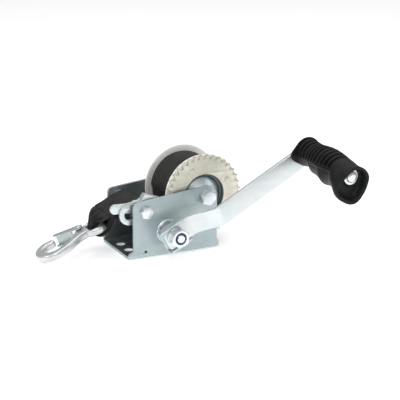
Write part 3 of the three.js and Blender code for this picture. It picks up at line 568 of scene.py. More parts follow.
MATERIALS = {
    "frame": plated("frame_zinc", (0.42, 0.50, 0.51), (0.55, 0.62, 0.64), 0.50, 1.0, 0.8),
    # painted shade: a dark copy of the frame's zinc for faces that lie in shade inside the frame and in the
    # drum's mouth
    "inside": plated("frame_zinc_inside", (0.11, 0.13, 0.14), (0.22, 0.25, 0.26), 0.45, 1.0, 0.6),
    # painted light: near-white walls of the floor's holes, for the light seen through them
    "edge": plated("hole_wall_painted_light", (0.80, 0.82, 0.82), (0.95, 0.96, 0.96), 0.5, 1.0, 0.1),
    "arm": plated("arm_zinc", (0.64, 0.71, 0.73), (0.80, 0.82, 0.81), 0.42, 0.8, 0.92, 40.0),
    "dish": plated("dish_zinc", (0.46, 0.53, 0.54), (0.68, 0.74, 0.75), 0.36),
    "bolt": plated("fastener_zinc", (0.66, 0.71, 0.74), (0.88, 0.91, 0.92), 0.27, 0.8, 0.95, 120.0),
    "gear": gear_plate("drum_zinc"),
    # painted light: a paler, less metallic copy of the drum's plating on both flanges, to brighten the gaps
    # between the teeth
    "rim": plated("flange_zinc_painted_light", (0.88, 0.87, 0.80), (0.97, 0.96, 0.92), 0.5, 1.0, 0.15),
    "hook": hook_plate("hook_steel"),
    "steel": dark_steel("spring_steel"),
    "spring": dark_steel("bright_spring", (0.32, 0.33, 0.34), (0.52, 0.54, 0.55)),
    "grip": grip_plastic("grip_plastic"),
    "nylon": nylon("nylon"),
    "webbing": webbing("webbing"),
}


def paint(obj, material):
    obj.data.materials.clear()
    obj.data.materials.append(MATERIALS[material])


def keep(obj, body, material, node):
    """Gives a piece its material, its body and the CAD node that it stands for."""
    paint(obj, material)
    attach(obj, body)
    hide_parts(node)


# ---------------- frame

BEND = 4.5
BEND_ARC = BEND * pi / 2
FLAT_HALF = OUTER_WALL - BEND
FRONT, REAR = -43.2, 46.3       # X of the walls' upright edges
FRONT_HEIGHT = 56
TOP_SLOPE = 0.11
FIXING_X, FIXING_Y = 38.8, 10.3     # the four holes in the floor


def wall_top(x):
    return FRONT_HEIGHT + TOP_SLOPE * (x - FRONT)


def wall_outline():
    """The rear, top and front edges of a side wall, as (x, z), from the rear bend to the front bend."""
    slope = math.atan(TOP_SLOPE)
    radius = 11
    rear_x = REAR - radius
    rear_z = wall_top(rear_x) - radius / cos(slope)
    points = [(48.5, 6.0), (48.3, 7.2), (47.4, 8.4), (REAR, 9.6)]
    points += arc(rear_x, rear_z, radius, 0, 90 + math.degrees(slope), 18)
    points += [(FRONT + 5, wall_top(FRONT + 5)), (FRONT + 2.4, wall_top(FRONT + 2.4) - 0.5)]
    points += [(FRONT + 0.6, 53.6), (FRONT, 51), (FRONT, 10.2), (FRONT - 0.6, 8.4), (FRONT - 2, 7.5)]
    points += [(FRONT - 4, 6.6), (FRONT - 5.3, 4.6)]
    return points


def folded(x, s, t):
    """Where a point of the flat blank goes when it is folded up. t is the depth from outside."""
    side = 1 if s > 0 else -1
    d = abs(s)
    if d <= FLAT_HALF:
        return (x, s, t)
    if d <= FLAT_HALF + BEND_ARC:
        a = (d - FLAT_HALF) / BEND
        return (x, side * (FLAT_HALF + (BEND - t) * sin(a)), BEND - (BEND - t) * cos(a))
    return (x, side * (OUTER_WALL - t), BEND + d - FLAT_HALF - BEND_ARC)


def fold_up(mesh):
    """Cuts the flat blank into strips along its two bends and folds it up there."""
    cuts = [FLAT_HALF + BEND_ARC * i / 8 for i in range(9)]
    with edited(mesh) as bm:
        for s in cuts + [-c for c in cuts]:
            geometry = bm.verts[:] + bm.edges[:] + bm.faces[:]
            bmesh.ops.bisect_plane(bm, geom=geometry, plane_co=(0, s * MM, 0), plane_no=(0, 1, 0), dist=1e-8)
        for v in bm.verts:
            v.co = Vector(folded(*(v.co / MM))) * MM


def frame_tone(face):
    """A face's material: 0 outside, 1 painted shade inside, where the walls' shade falls, or 2 painted light
    at the edges of the floor's holes.
    """
    c = face.center / MM
    n = face.normal
    in_floor = c.z < SHEET + 0.1
    at_fixing = abs(abs(c.x) - FIXING_X) < 4.5 and abs(abs(c.y) - FIXING_Y) < 4.5
    if in_floor and at_fixing and n.z < 0.9:
        return 2
    in_wall = abs(c.y) < INNER_WALL + 0.05 and c.y * n.y < -0.3 * abs(c.y)
    in_bend = c.z < 4.6 and n.z > 0.5
    return int((in_wall or in_bend) and abs(c.y) > 1 or in_floor and n.z > 0.9)


def build_frame():
    """One sheet: a floor and two walls."""
    rise = FLAT_HALF + BEND_ARC - BEND
    wall = wall_outline()
    blank = [(x, rise + z) for x, z in wall] + [(x, -rise - z) for x, z in wall[::-1]]
    holes = []
    for side in (-1, 1):
        for x, z, r in ((*AXLE, 5.05), (*SHAFT, 9.9), (*PAWL, 3.4)):
            holes.append(circle(x, side * (rise + z), r, 56))
    holes.append(circle(-30.7, -rise - 6.4, 1.4, 24))
    for x in (-FIXING_X, FIXING_X):
        for y in (-FIXING_Y, FIXING_Y):
            holes.append(circle(x, y, 4.3, 40))
    obj = make_object("frame_sheet", *prism(blank, holes, 0, SHEET, 0.45, 3))
    fold_up(obj.data)
    shade(obj)
    keep(obj, "root", "frame", "frame")
    # The second slot is painted shade, the third painted light; frame_tone chooses between them.
    obj.data.materials.append(MATERIALS["inside"])
    obj.data.materials.append(MATERIALS["edge"])
    for face in obj.data.polygons:
        face.material_index = frame_tone(face)


# ---------------- drum

def involute(angle):
    return math.tan(angle) - angle


def tooth_half_angle(radius, teeth):
    """Half the angle that a tooth spans at a radius."""
    backlash = 0.5
    pitch = MODULE * teeth / 2
    pressure = radians(25)
    base = pitch * cos(pressure)
    flank = math.acos(min(1, base / max(radius, base)))
    return pi / 2 / teeth - backlash / 2 / pitch + involute(pressure) - involute(flank)


def gear_outline(x, z, teeth, first):
    """Involute teeth about (x, z), the first at an angle in radians."""
    pitch = MODULE * teeth / 2
    tip, root = pitch + MODULE, pitch - 1.2 * MODULE
    radii = [root, root + 0.5] + [pitch - 1.2 + k * 0.8 for k in range(4)] + [tip - 0.35]
    points = []
    for tooth in range(teeth):
        middle = first + tooth * TAU / teeth
        left = [(r, middle - tooth_half_angle(r, teeth)) for r in radii]
        left[0] = (root, left[0][1] - 0.012)
        right = [(r, 2 * middle - a) for r, a in left[::-1]]
        half = tooth_half_angle(tip, teeth) * 0.75
        crest = [(tip, middle - half), (tip, middle + half)]
        points += [(x + r * cos(a), z + r * sin(a)) for r, a in left + crest + right]
    return points


def paint_shade_in_bore(obj):
    """The drum's mouth lies in shade, which is painted on these faces as a dark copy of the frame's zinc."""
    mouth = 21.4
    obj.data.materials.append(MATERIALS["inside"])
    for face in obj.data.polygons:
        c = face.center / MM
        if math.hypot(c.x - AXLE[0], c.z - AXLE[1]) < mouth:
            face.material_index = 1


def build_drum_gear():
    """The stamped gear and the four rivets that hold it to the flange."""
    rivets = arc(*AXLE, 28.5, 27, 27 + 270, 3)
    holes = [circle(*AXLE, 21.0, 120)] + [circle(*p, 2.6, 24) for p in rivets]
    outline = gear_outline(*AXLE, GEAR_TEETH, MESH_ANGLE)
    gear = plate_y("drum_gear_stamped", outline, -29.2, -25.2, holes, 0.4, 3)
    keep(gear, "drum", "gear", "drum_gear")
    # painted shade in the gear's bore
    paint_shade_in_bore(gear)
    profile = [(0.0, -29.75), (1.5, -29.8), (3.0, -29.45), (3.2, -29.25), (2.45, -29.15)]
    profile += [(2.45, -23.4), (0.0, -23.4)]
    for i, place in enumerate(rivets):
        rivet = turned(f"rivet_{i + 1}", profile, *place, steps=28, round_by=0.2)
        keep(rivet, "drum", "gear", f"gear_rivet_{i + 1}")


def build_flanges():
    """Two pressed flanges with slightly rolled rims."""
    bore, rim, thickness = 18.9, 40.6, 1.6
    for name, y, out in (("near", -23.4, -1), ("far", 23.0, 1)):
        back = y + thickness * out
        profile = [(bore, y), (38.2, y), (40.0, y + 0.25 * out), (rim, y + 0.8 * out), (40.0, back)]
        profile += [(38.0, back), (23.5, back), (21.5, back), (bore, back)]
        flange = turned(f"{name}_flange_pressed", profile, *AXLE, steps=120)
        # Both flanges are painted paler than the gear: painted light behind its teeth.
        keep(flange, "drum", "rim", f"{name}_flange")
        # painted shade in the near flange's mouth
        if name == "near":
            paint_shade_in_bore(flange)


def build_hubs():
    """End plates drawn out into a bell that narrows to the hub beside the wall."""
    bore, inner, outer = 6.6, 18, 30.4
    bell = [(bore, inner), (18.6, inner), (18.6, 24.2), (17.9, 24.9), (14.6, 26.8), (11.4, 28.7), (9.8, 29.9),
            (9.0, outer), (bore, outer)]
    for name, side in (("near", -1), ("far", 1)):
        hub = turned(f"{name}_hub_drawn", [(r, side * y) for r, y in bell], *AXLE, steps=96, round_by=0.8)
        keep(hub, "drum", "dish", f"{name}_hub")


def band_mesh(name, stations, thickness):
    """A thick band. Each station is (length along, [(point, normal, place across)]) in millimetres."""
    half = thickness / 2
    verts, uvs = [], []
    across = len(stations[0][1])
    for length, row in stations:
        top = [(p + n * half, v) for p, n, v in row]
        bottom = [(p - n * half, v) for p, n, v in row[::-1]]
        edges = []
        for (p, _, v), (inward, _, _) in ((row[-1], row[-2]), (row[0], row[1])):
            edges.append((p + (p - inward).normalized() * half * 0.7, v))
        for point, v in top + edges[:1] + bottom + edges[1:]:
            verts.append(tuple(point))
            uvs.append((length * MM, v * MM))
    ring = 2 * across + 2
    faces = ring_faces(len(stations), ring)
    ends = (0, (len(stations) - 1) * ring)
    for i in range(across - 1):
        for start in ends:
            faces.append((start + i, start + i + 1, start + 2 * across - i - 1, start + 2 * across - i))
    for start in ends:
        faces.append((start + across - 1, start + across, start + across + 1))
        faces.append((start, start + 2 * across, start + ring - 1))
    mesh = new_mesh(name, verts, faces)
    obj = add_object(name, mesh)
    layer = mesh.uv_layers.new(name="strap")
    for loop in mesh.loops:
        layer.data[loop.index].uv = uvs[loop.vertex_index]
    with edited(mesh) as bm:
        bmesh.ops.recalc_face_normals(bm, faces=bm.faces)
    smooth_faces(mesh, 50)
    return obj


def build_strap_roll():
    """The wound strap: one long spiral whose layers wander a little from side to side."""
    turns = (ROLL_RADIUS - FIRST_LAYER) / LAYER_PITCH
    growth = ROLL_RADIUS - HALF_LAYER - FIRST_LAYER
    steps = int(turns * 64)
    stations = []
    length = 0.0
    for i in range(steps + 1):
        a = TAU * turns * i / steps
        r = FIRST_LAYER + growth * i / steps
        if i:
            length += r * TAU * turns / steps
        wander = 0.55 * sin(a * 0.37 + 0.8) + 0.35 * sin(a * 0.91)
        out = Vector((cos(a), 0, sin(a)))
        row = []
        for k in range(9):
            v = STRAP_WIDTH * (k / 8 - 0.5)
            ripple = 0.12 * sin(a * 5.3 + v * 0.4) * (k in (0, 8))
            row.append((Vector((AXLE[0], STRAP_SHIFT + wander + v, AXLE[1])) + out * (r + ripple), out, v))
        stations.append((length, row))
    obj = band_mesh("strap_roll_wound", stations, 1.66)
    keep(obj, "drum", "webbing", "strap_roll")


# ---------------- strap from the roll to the hook

FREE_LENGTH = 62.0              # the strap lies flat this far from the roll
EYE_MOUTH = (EYE_BAR[0] - 7.6, EYE_BAR[1] - 1.0)
FOLD_WAVES = 3.5


def lead_line():
    """Middle line of the strap in X and Z: off the roll, over the guide, down through the eye and back."""
    gap = 0.3
    roll_r, guide_r = ROLL_RADIUS + gap + HALF_LAYER, GUIDE_RADIUS + gap + HALF_LAYER
    dx, dz = AXLE[0] - PAWL[0], AXLE[1] - PAWL[1]
    normal = math.atan2(dz, dx) - math.asin((roll_r + guide_r) / math.hypot(dx, dz)) + pi / 2
    out = Vector((cos(normal), sin(normal)))
    start = Vector(AXLE) - out * roll_r
    end = Vector(PAWL) + out * guide_r
    points = [tuple(start.lerp(end, t)) for t in (0, 0.33, 0.66)]
    points += arc(*PAWL, guide_r, math.degrees(normal), 118, 5)
    points += [(FRONT, 50.9), (-52.0, 46.2), (-60.6, 42.4), (-67.4, 39.0), (-71.2, 34.4), EYE_MOUTH]
    bx, bz = EYE_BAR
    points += [(bx - 5.6, bz - 6.0), (bx, bz - 8.0), (bx + 5.6, bz - 5.9), (bx + 8.0, bz + 0.8)]
    points += [(bx + 9.6, bz + 6.6), (bx + 13.4, bz + 11.4), (bx + 18.6, bz + 15.2)]
    return smooth(points, 7)


def fold_amount(s, hole):
    """How far the strap is gathered, in radians of its folds, at a distance s along it."""
    reach = 7.5 if s < hole else 26.0
    past = max(0.0, hole - 4.5 - s, s - hole - 17.0)
    return 0.10 + 1.84 * math.exp(-(past / reach) ** 2)


def folded_section(gather, count=56, fine=6):
    """(across, height, lean) of points over the strap's width, in waves that lean by up to gather."""
    steps = (count - 1) * fine
    across, heights, leans = [0.0], [0.0], []
    for k in range(steps):
        lean = gather * sin(TAU * FOLD_WAVES * (k + 0.5) / steps + 0.35)
        leans.append(lean)
        across.append(across[-1] + cos(lean) * LEAD_WIDTH / steps)
        heights.append(heights[-1] + sin(lean) * LEAD_WIDTH / steps)
    middle = across[len(across) // 2]
    level = (max(heights) + min(heights)) / 2
    leans.append(leans[-1])
    return [(across[j] - middle, heights[j] - level, leans[j]) for j in range(0, steps + 1, fine)]


def build_strap_lead():
    """The strap from the roll over the guide to the hook, where it is gathered to pass through the eye."""
    line = [Vector((x, 0, z)) for x, z in lead_line()]
    total = [0.0]
    for a, b in zip(line, line[1:]):
        total.append(total[-1] + (b - a).length)
    mouth = Vector((EYE_MOUTH[0], 0, EYE_MOUTH[1]))
    hole = min(zip(line, total), key=lambda pair: (pair[0] - mouth).length)[1]
    side = Vector((0, 1, 0))
    stations = []
    for i, (p, s) in enumerate(zip(line, total)):
        ahead = heading(line, i)
        normal = Vector((-ahead.z, 0, ahead.x))
        if normal.z < 0 and s < hole - 20:
            normal = -normal
        blend = min(1.0, max(0.0, (s - FREE_LENGTH) / 14.0))
        section = folded_section(blend * fold_amount(s, hole))
        row = []
        for k, (across, height, lean) in enumerate(section):
            point = p + side * (across + STRAP_SHIFT * (1 - blend)) + normal * height
            up = (normal * cos(lean) - side * sin(lean)).normalized()
            row.append((point, up, LEAD_WIDTH * (k / (len(section) - 1) - 0.5)))
        stations.append((s, row))
    obj = band_mesh("strap_lead_webbing", stations, 1.7)
    keep(obj, "root", "webbing", "strap_lead")


# ---------------- axle, guide and shaft hardware

def build_axle():
    """Bolt, washer and nut of the drum's axle."""
    head = hex_piece("axle_bolt_head", *AXLE, 14.3, -OUTER_WALL - 0.1, -OUTER_WALL - 6.1, 0.2)
    collar = washer("axle_washer_face", 0.0, 7.0, -35.0, -34.1, *AXLE)
    profile = [(0.0, -34.2), (4.75, -34.2)] + thread(4.75, 0.4, 36.5, 45.8, 1.25, 0.55)
    profile += [(4.1, 46.5), (0.0, 46.5)]
    shank = turned("axle_shank", profile, *AXLE, steps=48, round_by=0.05)
    keep(joined("axle_bolt_zinc", [head, collar, shank]), "root", "bolt", "axle_bolt")
    keep(washer("axle_washer_zinc", 5.0, 10.0, 34.1, 36.0, *AXLE), "root", "bolt", "axle_washer")
    keep(hex_piece("axle_nut_zinc", *AXLE, 14.3, 36.2, 44.5, 0.35, bore=4.9), "root", "bolt", "axle_nut")


def build_pawl_bolt():
    """The pawl's bolt with its washer and nut, and the guide sleeve that turns on it."""
    head = hex_piece("pawl_bolt_head", *PAWL, 11.1, -34.1, -38.5, 0.3)
    crown = [(0.0, -38.75), (2.6, -38.7), (4.2, -38.5), (4.2, -37.8), (0.0, -37.8)]
    dome = turned("pawl_bolt_dome", crown, *PAWL)
    profile = [(0.0, -34.2), (3.1, -34.2)] + thread(3.1, 0.35, 35.6, 41.6, 0.95, 0.4)
    profile += [(2.6, 42.6), (0.0, 42.6)]
    shank = turned("pawl_shank", profile, *PAWL, steps=40, round_by=0.05)
    keep(joined("pawl_bolt_zinc", [head, dome, shank]), "root", "bolt", "pawl_bolt")
    sleeve = washer("guide_sleeve_tube", 3.4, GUIDE_RADIUS, -22.1, 30.7, *PAWL)
    keep(sleeve, "root", "dish", "guide_sleeve")
    keep(washer("pawl_washer_zinc", 3.3, 6.8, 34.1, 35.5, *PAWL), "root", "bolt", "pawl_washer")
    keep(hex_piece("pawl_nut_zinc", *PAWL, 11.1, 35.7, 41.2, 0.5, bore=3.25), "root", "bolt", "pawl_nut")


def build_bushes():
    """Flanged bushes, pressed into the walls from outside."""
    w = OUTER_WALL
    for side, bore, name in ((-1, 8.6, "near"), (1, 6.8, "far")):
        profile = [(bore, 31.2), (9.6, 31.2), (9.6, w + 0.15), (12.0, w + 0.15), (12.0, w + 1.9)]
        profile += [(11.4, w + 2.6), (10.6, w + 2.6), (10.3, w + 1.2), (bore, w + 1.2)]
        bush = turned(f"{name}_bush_pressed", [(r, side * y) for r, y in profile], *SHAFT, steps=80)
        keep(bush, "root", "bolt", f"{name}_bush")


def open_ring(x, z, outer, inner, gap):
    """The outline of a ring that is open below."""
    a, b = (math.degrees(math.acos(gap / 2 / r)) for r in (outer, inner))
    return arc(x, z, outer, -a, 180 + a, 60) + arc(x, z, inner, 180 + b, -b, 48)


def build_shaft():
    """The pinion's shaft with its thread and groove, the pinion and the retaining ring."""
    profile = [(0.0, -66.4), (3.3, -66.4), (3.85, -65.8)] + thread(3.85, 0.35, -65.5, -58.0, 1.2, 0.5)
    profile += [(4.0, -57.0), (4.0, -48.0), (8.0, -48.0), (8.3, -47.6), (8.3, -25.2), (6.5, -25.0)]
    profile += [(6.5, 38.0), (5.7, 38.1), (5.7, 39.9), (6.5, 40.0), (6.5, 41.0), (6.0, 41.5), (0.0, 41.5)]
    shaft = turned("pinion_shaft_turned", profile, *SHAFT, steps=64, round_by=0.08)
    keep(shaft, "crank", "bolt", "pinion_shaft")
    outline = gear_outline(*SHAFT, PINION_TEETH, MESH_ANGLE + pi + pi / PINION_TEETH)
    teeth = plate_y("pinion_cut", outline, -30.6, -25.5, [circle(*SHAFT, 8.5, 48)], 0.3, 2)
    keep(teeth, "crank", "steel", "pinion")
    ring = plate_y("retaining_ring_stamped", open_ring(*SHAFT, 9.4, 5.9, 6.0), 38.4, 39.6, edge=0.2)
    keep(ring, "crank", "steel", "shaft_retaining_ring")


# ---------------- crank

ARM_WIDTH = 19.6
ARM_THICK = 4.8
ARM_START = -11.5
ARM_CORNER = 3.4
JOGGLE_START, JOGGLE_LENGTH = 16, 29
THREAD_BORE = 4.2               # radius of the holes on the shaft's thread and on the grip's spindle


def smooth_step(t):
    t = min(1.0, max(0.0, t))
    return t * t * (3 - 2 * t)


def arm_half_width(s):
    """Round at the grip's end, with rounded corners at the hub's."""
    half = ARM_WIDTH / 2
    if s > CRANK_LENGTH:
        return sqrt(max(0.03, half ** 2 - (s - CRANK_LENGTH) ** 2))
    d = max(0.0, ARM_START + ARM_CORNER - s)
    return half - ARM_CORNER + sqrt(max(0.0, ARM_CORNER ** 2 - d ** 2))


def arm_section(s):
    """A ring of 20 points round the arm at a distance s from the shaft."""
    h = arm_half_width(s)
    e = min(0.9, h * 0.6)
    b = ARM_THICK / 2 - e
    middle = -55.7 + ARM_THICK / 2 - 20.2 * smooth_step((s - JOGGLE_START) / JOGGLE_LENGTH)
    ring = []
    for quarter, (x, y) in enumerate(((h - e, b), (e - h, b), (e - h, -b), (h - e, -b))):
        ring += arc(x, y, e, 90 * quarter, 90 * quarter + 90, 4)
    return [(s, middle + y, x) for x, y in ring]


def build_arm():
    """Flat bar with rolled edges, set over between the hub and the grip."""
    half = ARM_WIDTH / 2
    stations = [ARM_START + d for d in (0.02, 0.3, 0.8, 1.6, 2.4, ARM_CORNER)] + [0.0, 12.0]
    stations += [JOGGLE_START + JOGGLE_LENGTH * i / 30 for i in range(31)] + [110.0, CRANK_LENGTH]
    stations += [CRANK_LENGTH + min(half * sin(pi / 2 * i / 10), half - 0.01) for i in range(1, 11)]
    verts = [point for s in stations for point in arm_section(s)]
    section = len(verts) // len(stations)
    faces = ring_faces(len(stations), section)
    faces += [tuple(range(section)), tuple(range(len(verts) - section, len(verts)))]
    arm = placed(make_object("arm_blank", verts, faces), CRANK)
    for x in (0.0, CRANK_LENGTH):
        arm = drilled(arm, plate_y("hole", circle(x, 0, THREAD_BORE, 40), -90, -40, edge=0.1, place=CRANK))
    arm.name = "crank_arm_bar"
    keep(arm, "crank", "arm", "crank_arm")


def build_bracket():
    """The channel on the shaft: a web and two lips."""
    outline = soften([(-13.5, -12.4), (13, -12.4), (13, 12.4), (-13.5, 12.4)], 2.0, 4)
    parts = [plate_y("bracket_web", outline, -50.6, -48.1, [circle(0, 0, THREAD_BORE, 40)], 0.3, place=CRANK)]
    outline = soften([(-13.5, -57.4), (9.5, -57.4), (13, -56.2), (13, -49), (-13.5, -49)], 1.1, 3)
    for low, high in ((-12.4, -10.1), (10.1, 12.4)):
        parts.append(plate_z("bracket_lip", outline, low, high, edge=0.45, rings=3, place=CRANK))
    keep(united("hub_bracket_channel", parts), "crank", "dish", "hub_bracket")


def build_crank_nut():
    """Washer and lock nut that hold the arm on the shaft."""
    ring = washer("crank_washer_zinc", THREAD_BORE, 9.9, -57.6, -55.9, place=CRANK)
    keep(ring, "crank", "bolt", "crank_washer")
    nut = hex_piece("crank_nut_zinc", 0, 0, 17.0, -57.8, -65.4, 0.4, THREAD_BORE, CRANK, recess=2.0)
    keep(nut, "crank", "bolt", "crank_nut")
    insert = washer("nut_insert_nylon", 3.95, 5.45, -65.5, -63.45, place=CRANK, round_by=0.5)
    keep(insert, "crank", "nylon", "nut_insert")


def build_spindle():
    """The rivet that the grip turns on, with its washer at the bottom of the grip's dish."""
    dish = -157.0
    head = [(0.0, -4.6), (2.6, -4.5), (4.6, -3.9), (5.4, -2.8), (5.4, -1.7), (4.0, -1.7)]
    foot = [(4.0, -71.0), (7.0, -71.0), (7.0, -70.0), (5.6, -69.0), (3.0, -68.8), (0.0, -68.8)]
    profile = [(r, dish + y) for r, y in head] + foot
    place = CRANK @ Matrix.Translation((CRANK_LENGTH, 0, 0))
    keep(turned("grip_spindle_rivet", profile, place=place, steps=48), "crank", "bolt", "grip_spindle")
    ring = washer("grip_washer_zinc", THREAD_BORE, 7.6, dish - 1.5, dish - 0.3, place=place)
    keep(ring, "crank", "bolt", "grip_washer")


# ---------------- grip

PALM = 58.0                     # direction of the palm side, in degrees from +X towards +Z
GRIP_ROOT = -77.2
GRIP_LENGTH = 88.8
GRIP_BORE = 4.3
RIBS, RIB_PITCH, RIB_DEPTH = 11, 6.2, 2.9
END_RADII = (15.3, 13.2, 11.5, 10.8, 10.0, 11.0, 14.2, 23.4, 24.2, 24.2, 19.0, 16.0)   # every 30 degrees


def end_radius(degrees):
    """Radius of the flared end's rim."""
    place = degrees % 360 / 30
    i = int(place)
    return curve_point(*(END_RADII[(i + k - 1) % 12] for k in range(4)), place - i)


def grip_radius(along, degrees):
    """Radius of the grip, with ribs on the palm side and finger seats on the other."""
    off = (degrees - PALM + 180) % 360 - 180
    lean = 7.4 - 8.9 * along / 70
    body = 13.6 + 3.5 * smooth_step((along - 15) / 30) - 1.2 * smooth_step((along - 50) / 22)
    away = radians(off)
    radius = lean * cos(away) + sqrt(body ** 2 - (lean * sin(away)) ** 2)
    finger = smooth_step((abs(off) - 108) / 3)
    seats = finger * smooth_step((along - 4) / 5) * smooth_step((73 - along) / 6)
    radius -= seats * (0.5 + 1.7 * abs(sin(pi * (along - 5) / 22.5)))
    for k in range(RIBS):
        d = abs(along - 3.8 - RIB_PITCH * k)
        radius -= RIB_DEPTH * smooth_step((100 - abs(off)) / 6) * smooth_step((1.95 - d) / 0.6)
    flare = smooth_step((along - 68) / 19)
    radius += (end_radius(degrees) - radius) * flare ** 1.25
    collar = smooth_step((3.0 - along) / 1.2)
    radius += collar * (0.8 + 5.4 * math.exp(-(((degrees - 168 + 180) % 360 - 180) / 30.0) ** 2))
    return radius


def build_grip():
    """Lofted from the root to the flared end, then round the rim, down the dished end and into its bore."""
    around = 144
    angles = [360 * i / around for i in range(around)]
    root = [GRIP_BORE + 0.6 * (grip_radius(0, a) - GRIP_BORE) for a in angles]
    rings = [([GRIP_BORE] * around, 0.0), (root, 0.0)]
    y = 0.0
    while y < GRIP_LENGTH - 1.4:
        soft = 0.7 * max(0.0, 1 - y / 0.8) ** 2
        rings.append(([grip_radius(y, a) - soft for a in angles], y))
        y += 0.42 if y < 72 else 0.8
    rim = [end_radius(a) for a in angles]
    for r_in, y in ((0.0, 87.6), (0.25, 88.3), (0.8, 88.7), (1.6, GRIP_LENGTH), (2.4, 88.5), (3.2, 87.8)):
        rings.append(([r - r_in for r in rim], y))
    for k in range(1, 11):
        t = k / 10
        depth = 6.4 * min(1.0, t / 0.35) ** 0.7 + 0.8 * t
        rings.append(([(r - 3.2) * (1 - t) + 9.0 * t for r in rim], 87.8 - depth))
    rings += [([r] * around, y) for r, y in ((8.7, 80.4), (8.2, 79.9), (7.6, 79.8), (GRIP_BORE, 79.8))]
    verts = []
    for radii, y in rings:
        for r, degrees in zip(radii, angles):
            a = radians(degrees)
            verts.append((r * cos(a), GRIP_ROOT - y, r * sin(a)))
    grip = make_object("grip_moulded", verts, ring_faces(len(rings), around, closed=True), 55)
    keep(placed(grip, GRIP), "grip", "grip", "grip")


# ---------------- pawl

def pawl_outlines():
    claw = arc(-44.8, 43.8, 10.1, 43, 292, 40) + arc(-44.8, 43.8, 5.2, 292, 43, 30)
    bridge = soften([(-42, 48.2), (-30, 46), (-24, 52), (-30, 55.2), (-44, 53.9), (-45, 49.4)], 1.2)
    toe = [(-43.6, 33.8), (-40.5, 33.6), (-30.5, 31.4), (-25.6, 31.6), (-30.4, 37.4), (-42.6, 39.2)]
    neck = [(-33.6, 36), (-29.4, 36), (-26, 46.3), (-36.6, 46.3)]
    tooth = soften([(-30, 42.4), (-24, 40.2), (-14.5, 40.4), (-16.5, 43.4), (-23, 50.5), (-30, 51)], 0.8)
    return claw, bridge, soften(toe, 0.8), neck, tooth


def build_pawl():
    """A stamped lever, its boss, and the thumb tab that is folded up from it."""
    parts = []
    for i, outline in enumerate(pawl_outlines()):
        nudge = 0.01 * i
        parts.append(plate_y("pawl_part", outline, -28 + nudge, -25.5 - nudge, edge=0.2))
    parts.append(plate_y("pawl_boss", circle(*PAWL, 6.9, 48), -28.06, -22.4, edge=0.3))
    tab = arc(-58.2, 50.0, 4.9, 92, 268, 22)
    tab += [(-50, 44.9), (-36, 43.5), (-27, 47), (-28, 58), (-34, 57.6), (-34.6, 56.7), (-39.5, 56.3),
            (-40.2, 55.4), (-46, 54.4)]
    parts.append(plate_y("pawl_tab", tab, -24.8, -22.38, edge=0.5, rings=3))
    web = [(-34.2, 55.4), (-28.9, 63.2), (-11.8, 57.2), (-12.6, 54.9), (-26, 58.4), (-28.6, 54.6)]
    parts.append(plate_y("pawl_web", soften(web, 0.9), -30.2, -22.42, rings=3))
    strut = soften([(-40, 53.2), (-29, 53.2), (-29, 56), (-40, 56)], 0.5)
    parts.append(plate_y("pawl_strut", strut, -27.94, -22.44, edge=0.2))
    bore = plate_y("pawl_bore", circle(*PAWL, 3.3, 40), -40, -10, edge=0.05)
    keep(drilled(united("pawl_stamped", parts), bore), "pawl", "arm", "pawl")


def tube_mesh(name, points, radius, sides=12):
    """A round wire through the points."""
    line = [Vector(p) for p in points]
    verts = []
    up = Vector((0, 1, 0))
    for i, p in enumerate(line):
        ahead = heading(line, i)
        side = ahead.cross(up)
        if side.length < 1e-3:
            side = ahead.cross(Vector((0, 0, 1)))
        side.normalize()
        up = side.cross(ahead).normalized()
        for k in range(sides):
            a = TAU * k / sides
            verts.append(tuple(p + side * radius * cos(a) + up * radius * sin(a)))
    faces = ring_faces(len(line), sides)
    faces += [tuple(range(sides))[::-1], tuple(range(len(verts) - sides, len(verts)))]
    return make_object(name, verts, faces, 60)


def build_pawl_spring():
    """A coil round the pawl's bolt, with one leg that presses on the claw."""
    steps = 90
    start = math.degrees(0.6)
    coil = arc(*PAWL, 5.2, start, start + 360 * 1.75, steps)
    points = [(x, -30.2 + 1.4 * i / steps, z) for i, (x, z) in enumerate(coil)]
    x, _, z = points[-1]
    points += smooth([points[-1], (x - 4, -29, z - 1.6), (-44.6, -28.9, 43.2)], 10)[1:]
    keep(tube_mesh("pawl_spring_wire", points, 0.55), "root", "spring", "pawl_spring")


# ---------------- hook

LATCH_PIVOT = (50.2, 6.6)


def hook_outline():
    """The bow, back and neck of the hook, seen square to its flat side."""
    points = arc(17.6, -0.6, 17.6, 72, 281, 44)
    points += [(27.0, -16.6), (34.0, -13.8), (40.0, -10.4), (46.0, -7.7), (52.0, -6.5), (57.2, -6.2)]
    points += [(57.2, 6.2), (53.8, 8.4), (51.4, 10.2), (48.4, 10.2), (45.8, 7.8), (43.0, 3.8), (39.0, -0.6)]
    points += [(33.4, -5.4), (27.0, -8.9)]
    points += arc(18.6, -0.2, 9.7, 304, 80, 28)
    points += arc(21.6, 12.7, 3.4, -104, 66, 12)[1:-1]
    return points


def build_hook():
    """The forging: a round bow and a flat eye for the strap."""
    bow = plate_z("hook_bow", hook_outline(), -4.0, 4.0, edge=2.6, rings=6, place=HOOK, sharp=50)
    half = [(52.0, -6.3), (56.5, -10.6), (62.0, -12.2), (68.0, -12.2), (72.0, -9.6), (73.0, -5.0)]
    outline = smooth(half + [(x, -y) for x, y in half[::-1]], 5, closed=True)
    hole = soften([(56.6, -7.4), (66.2, -7.4), (66.2, 7.4), (56.6, 7.4)], 2.6, 6)
    eye = plate_z("hook_eye", outline, -3.6, 3.6, [hole], edge=2.3, rings=6, place=HOOK, sharp=50)
    keep(joined("hook_forged", [bow, eye], sharp=60), "hook", "hook", "hook_body")


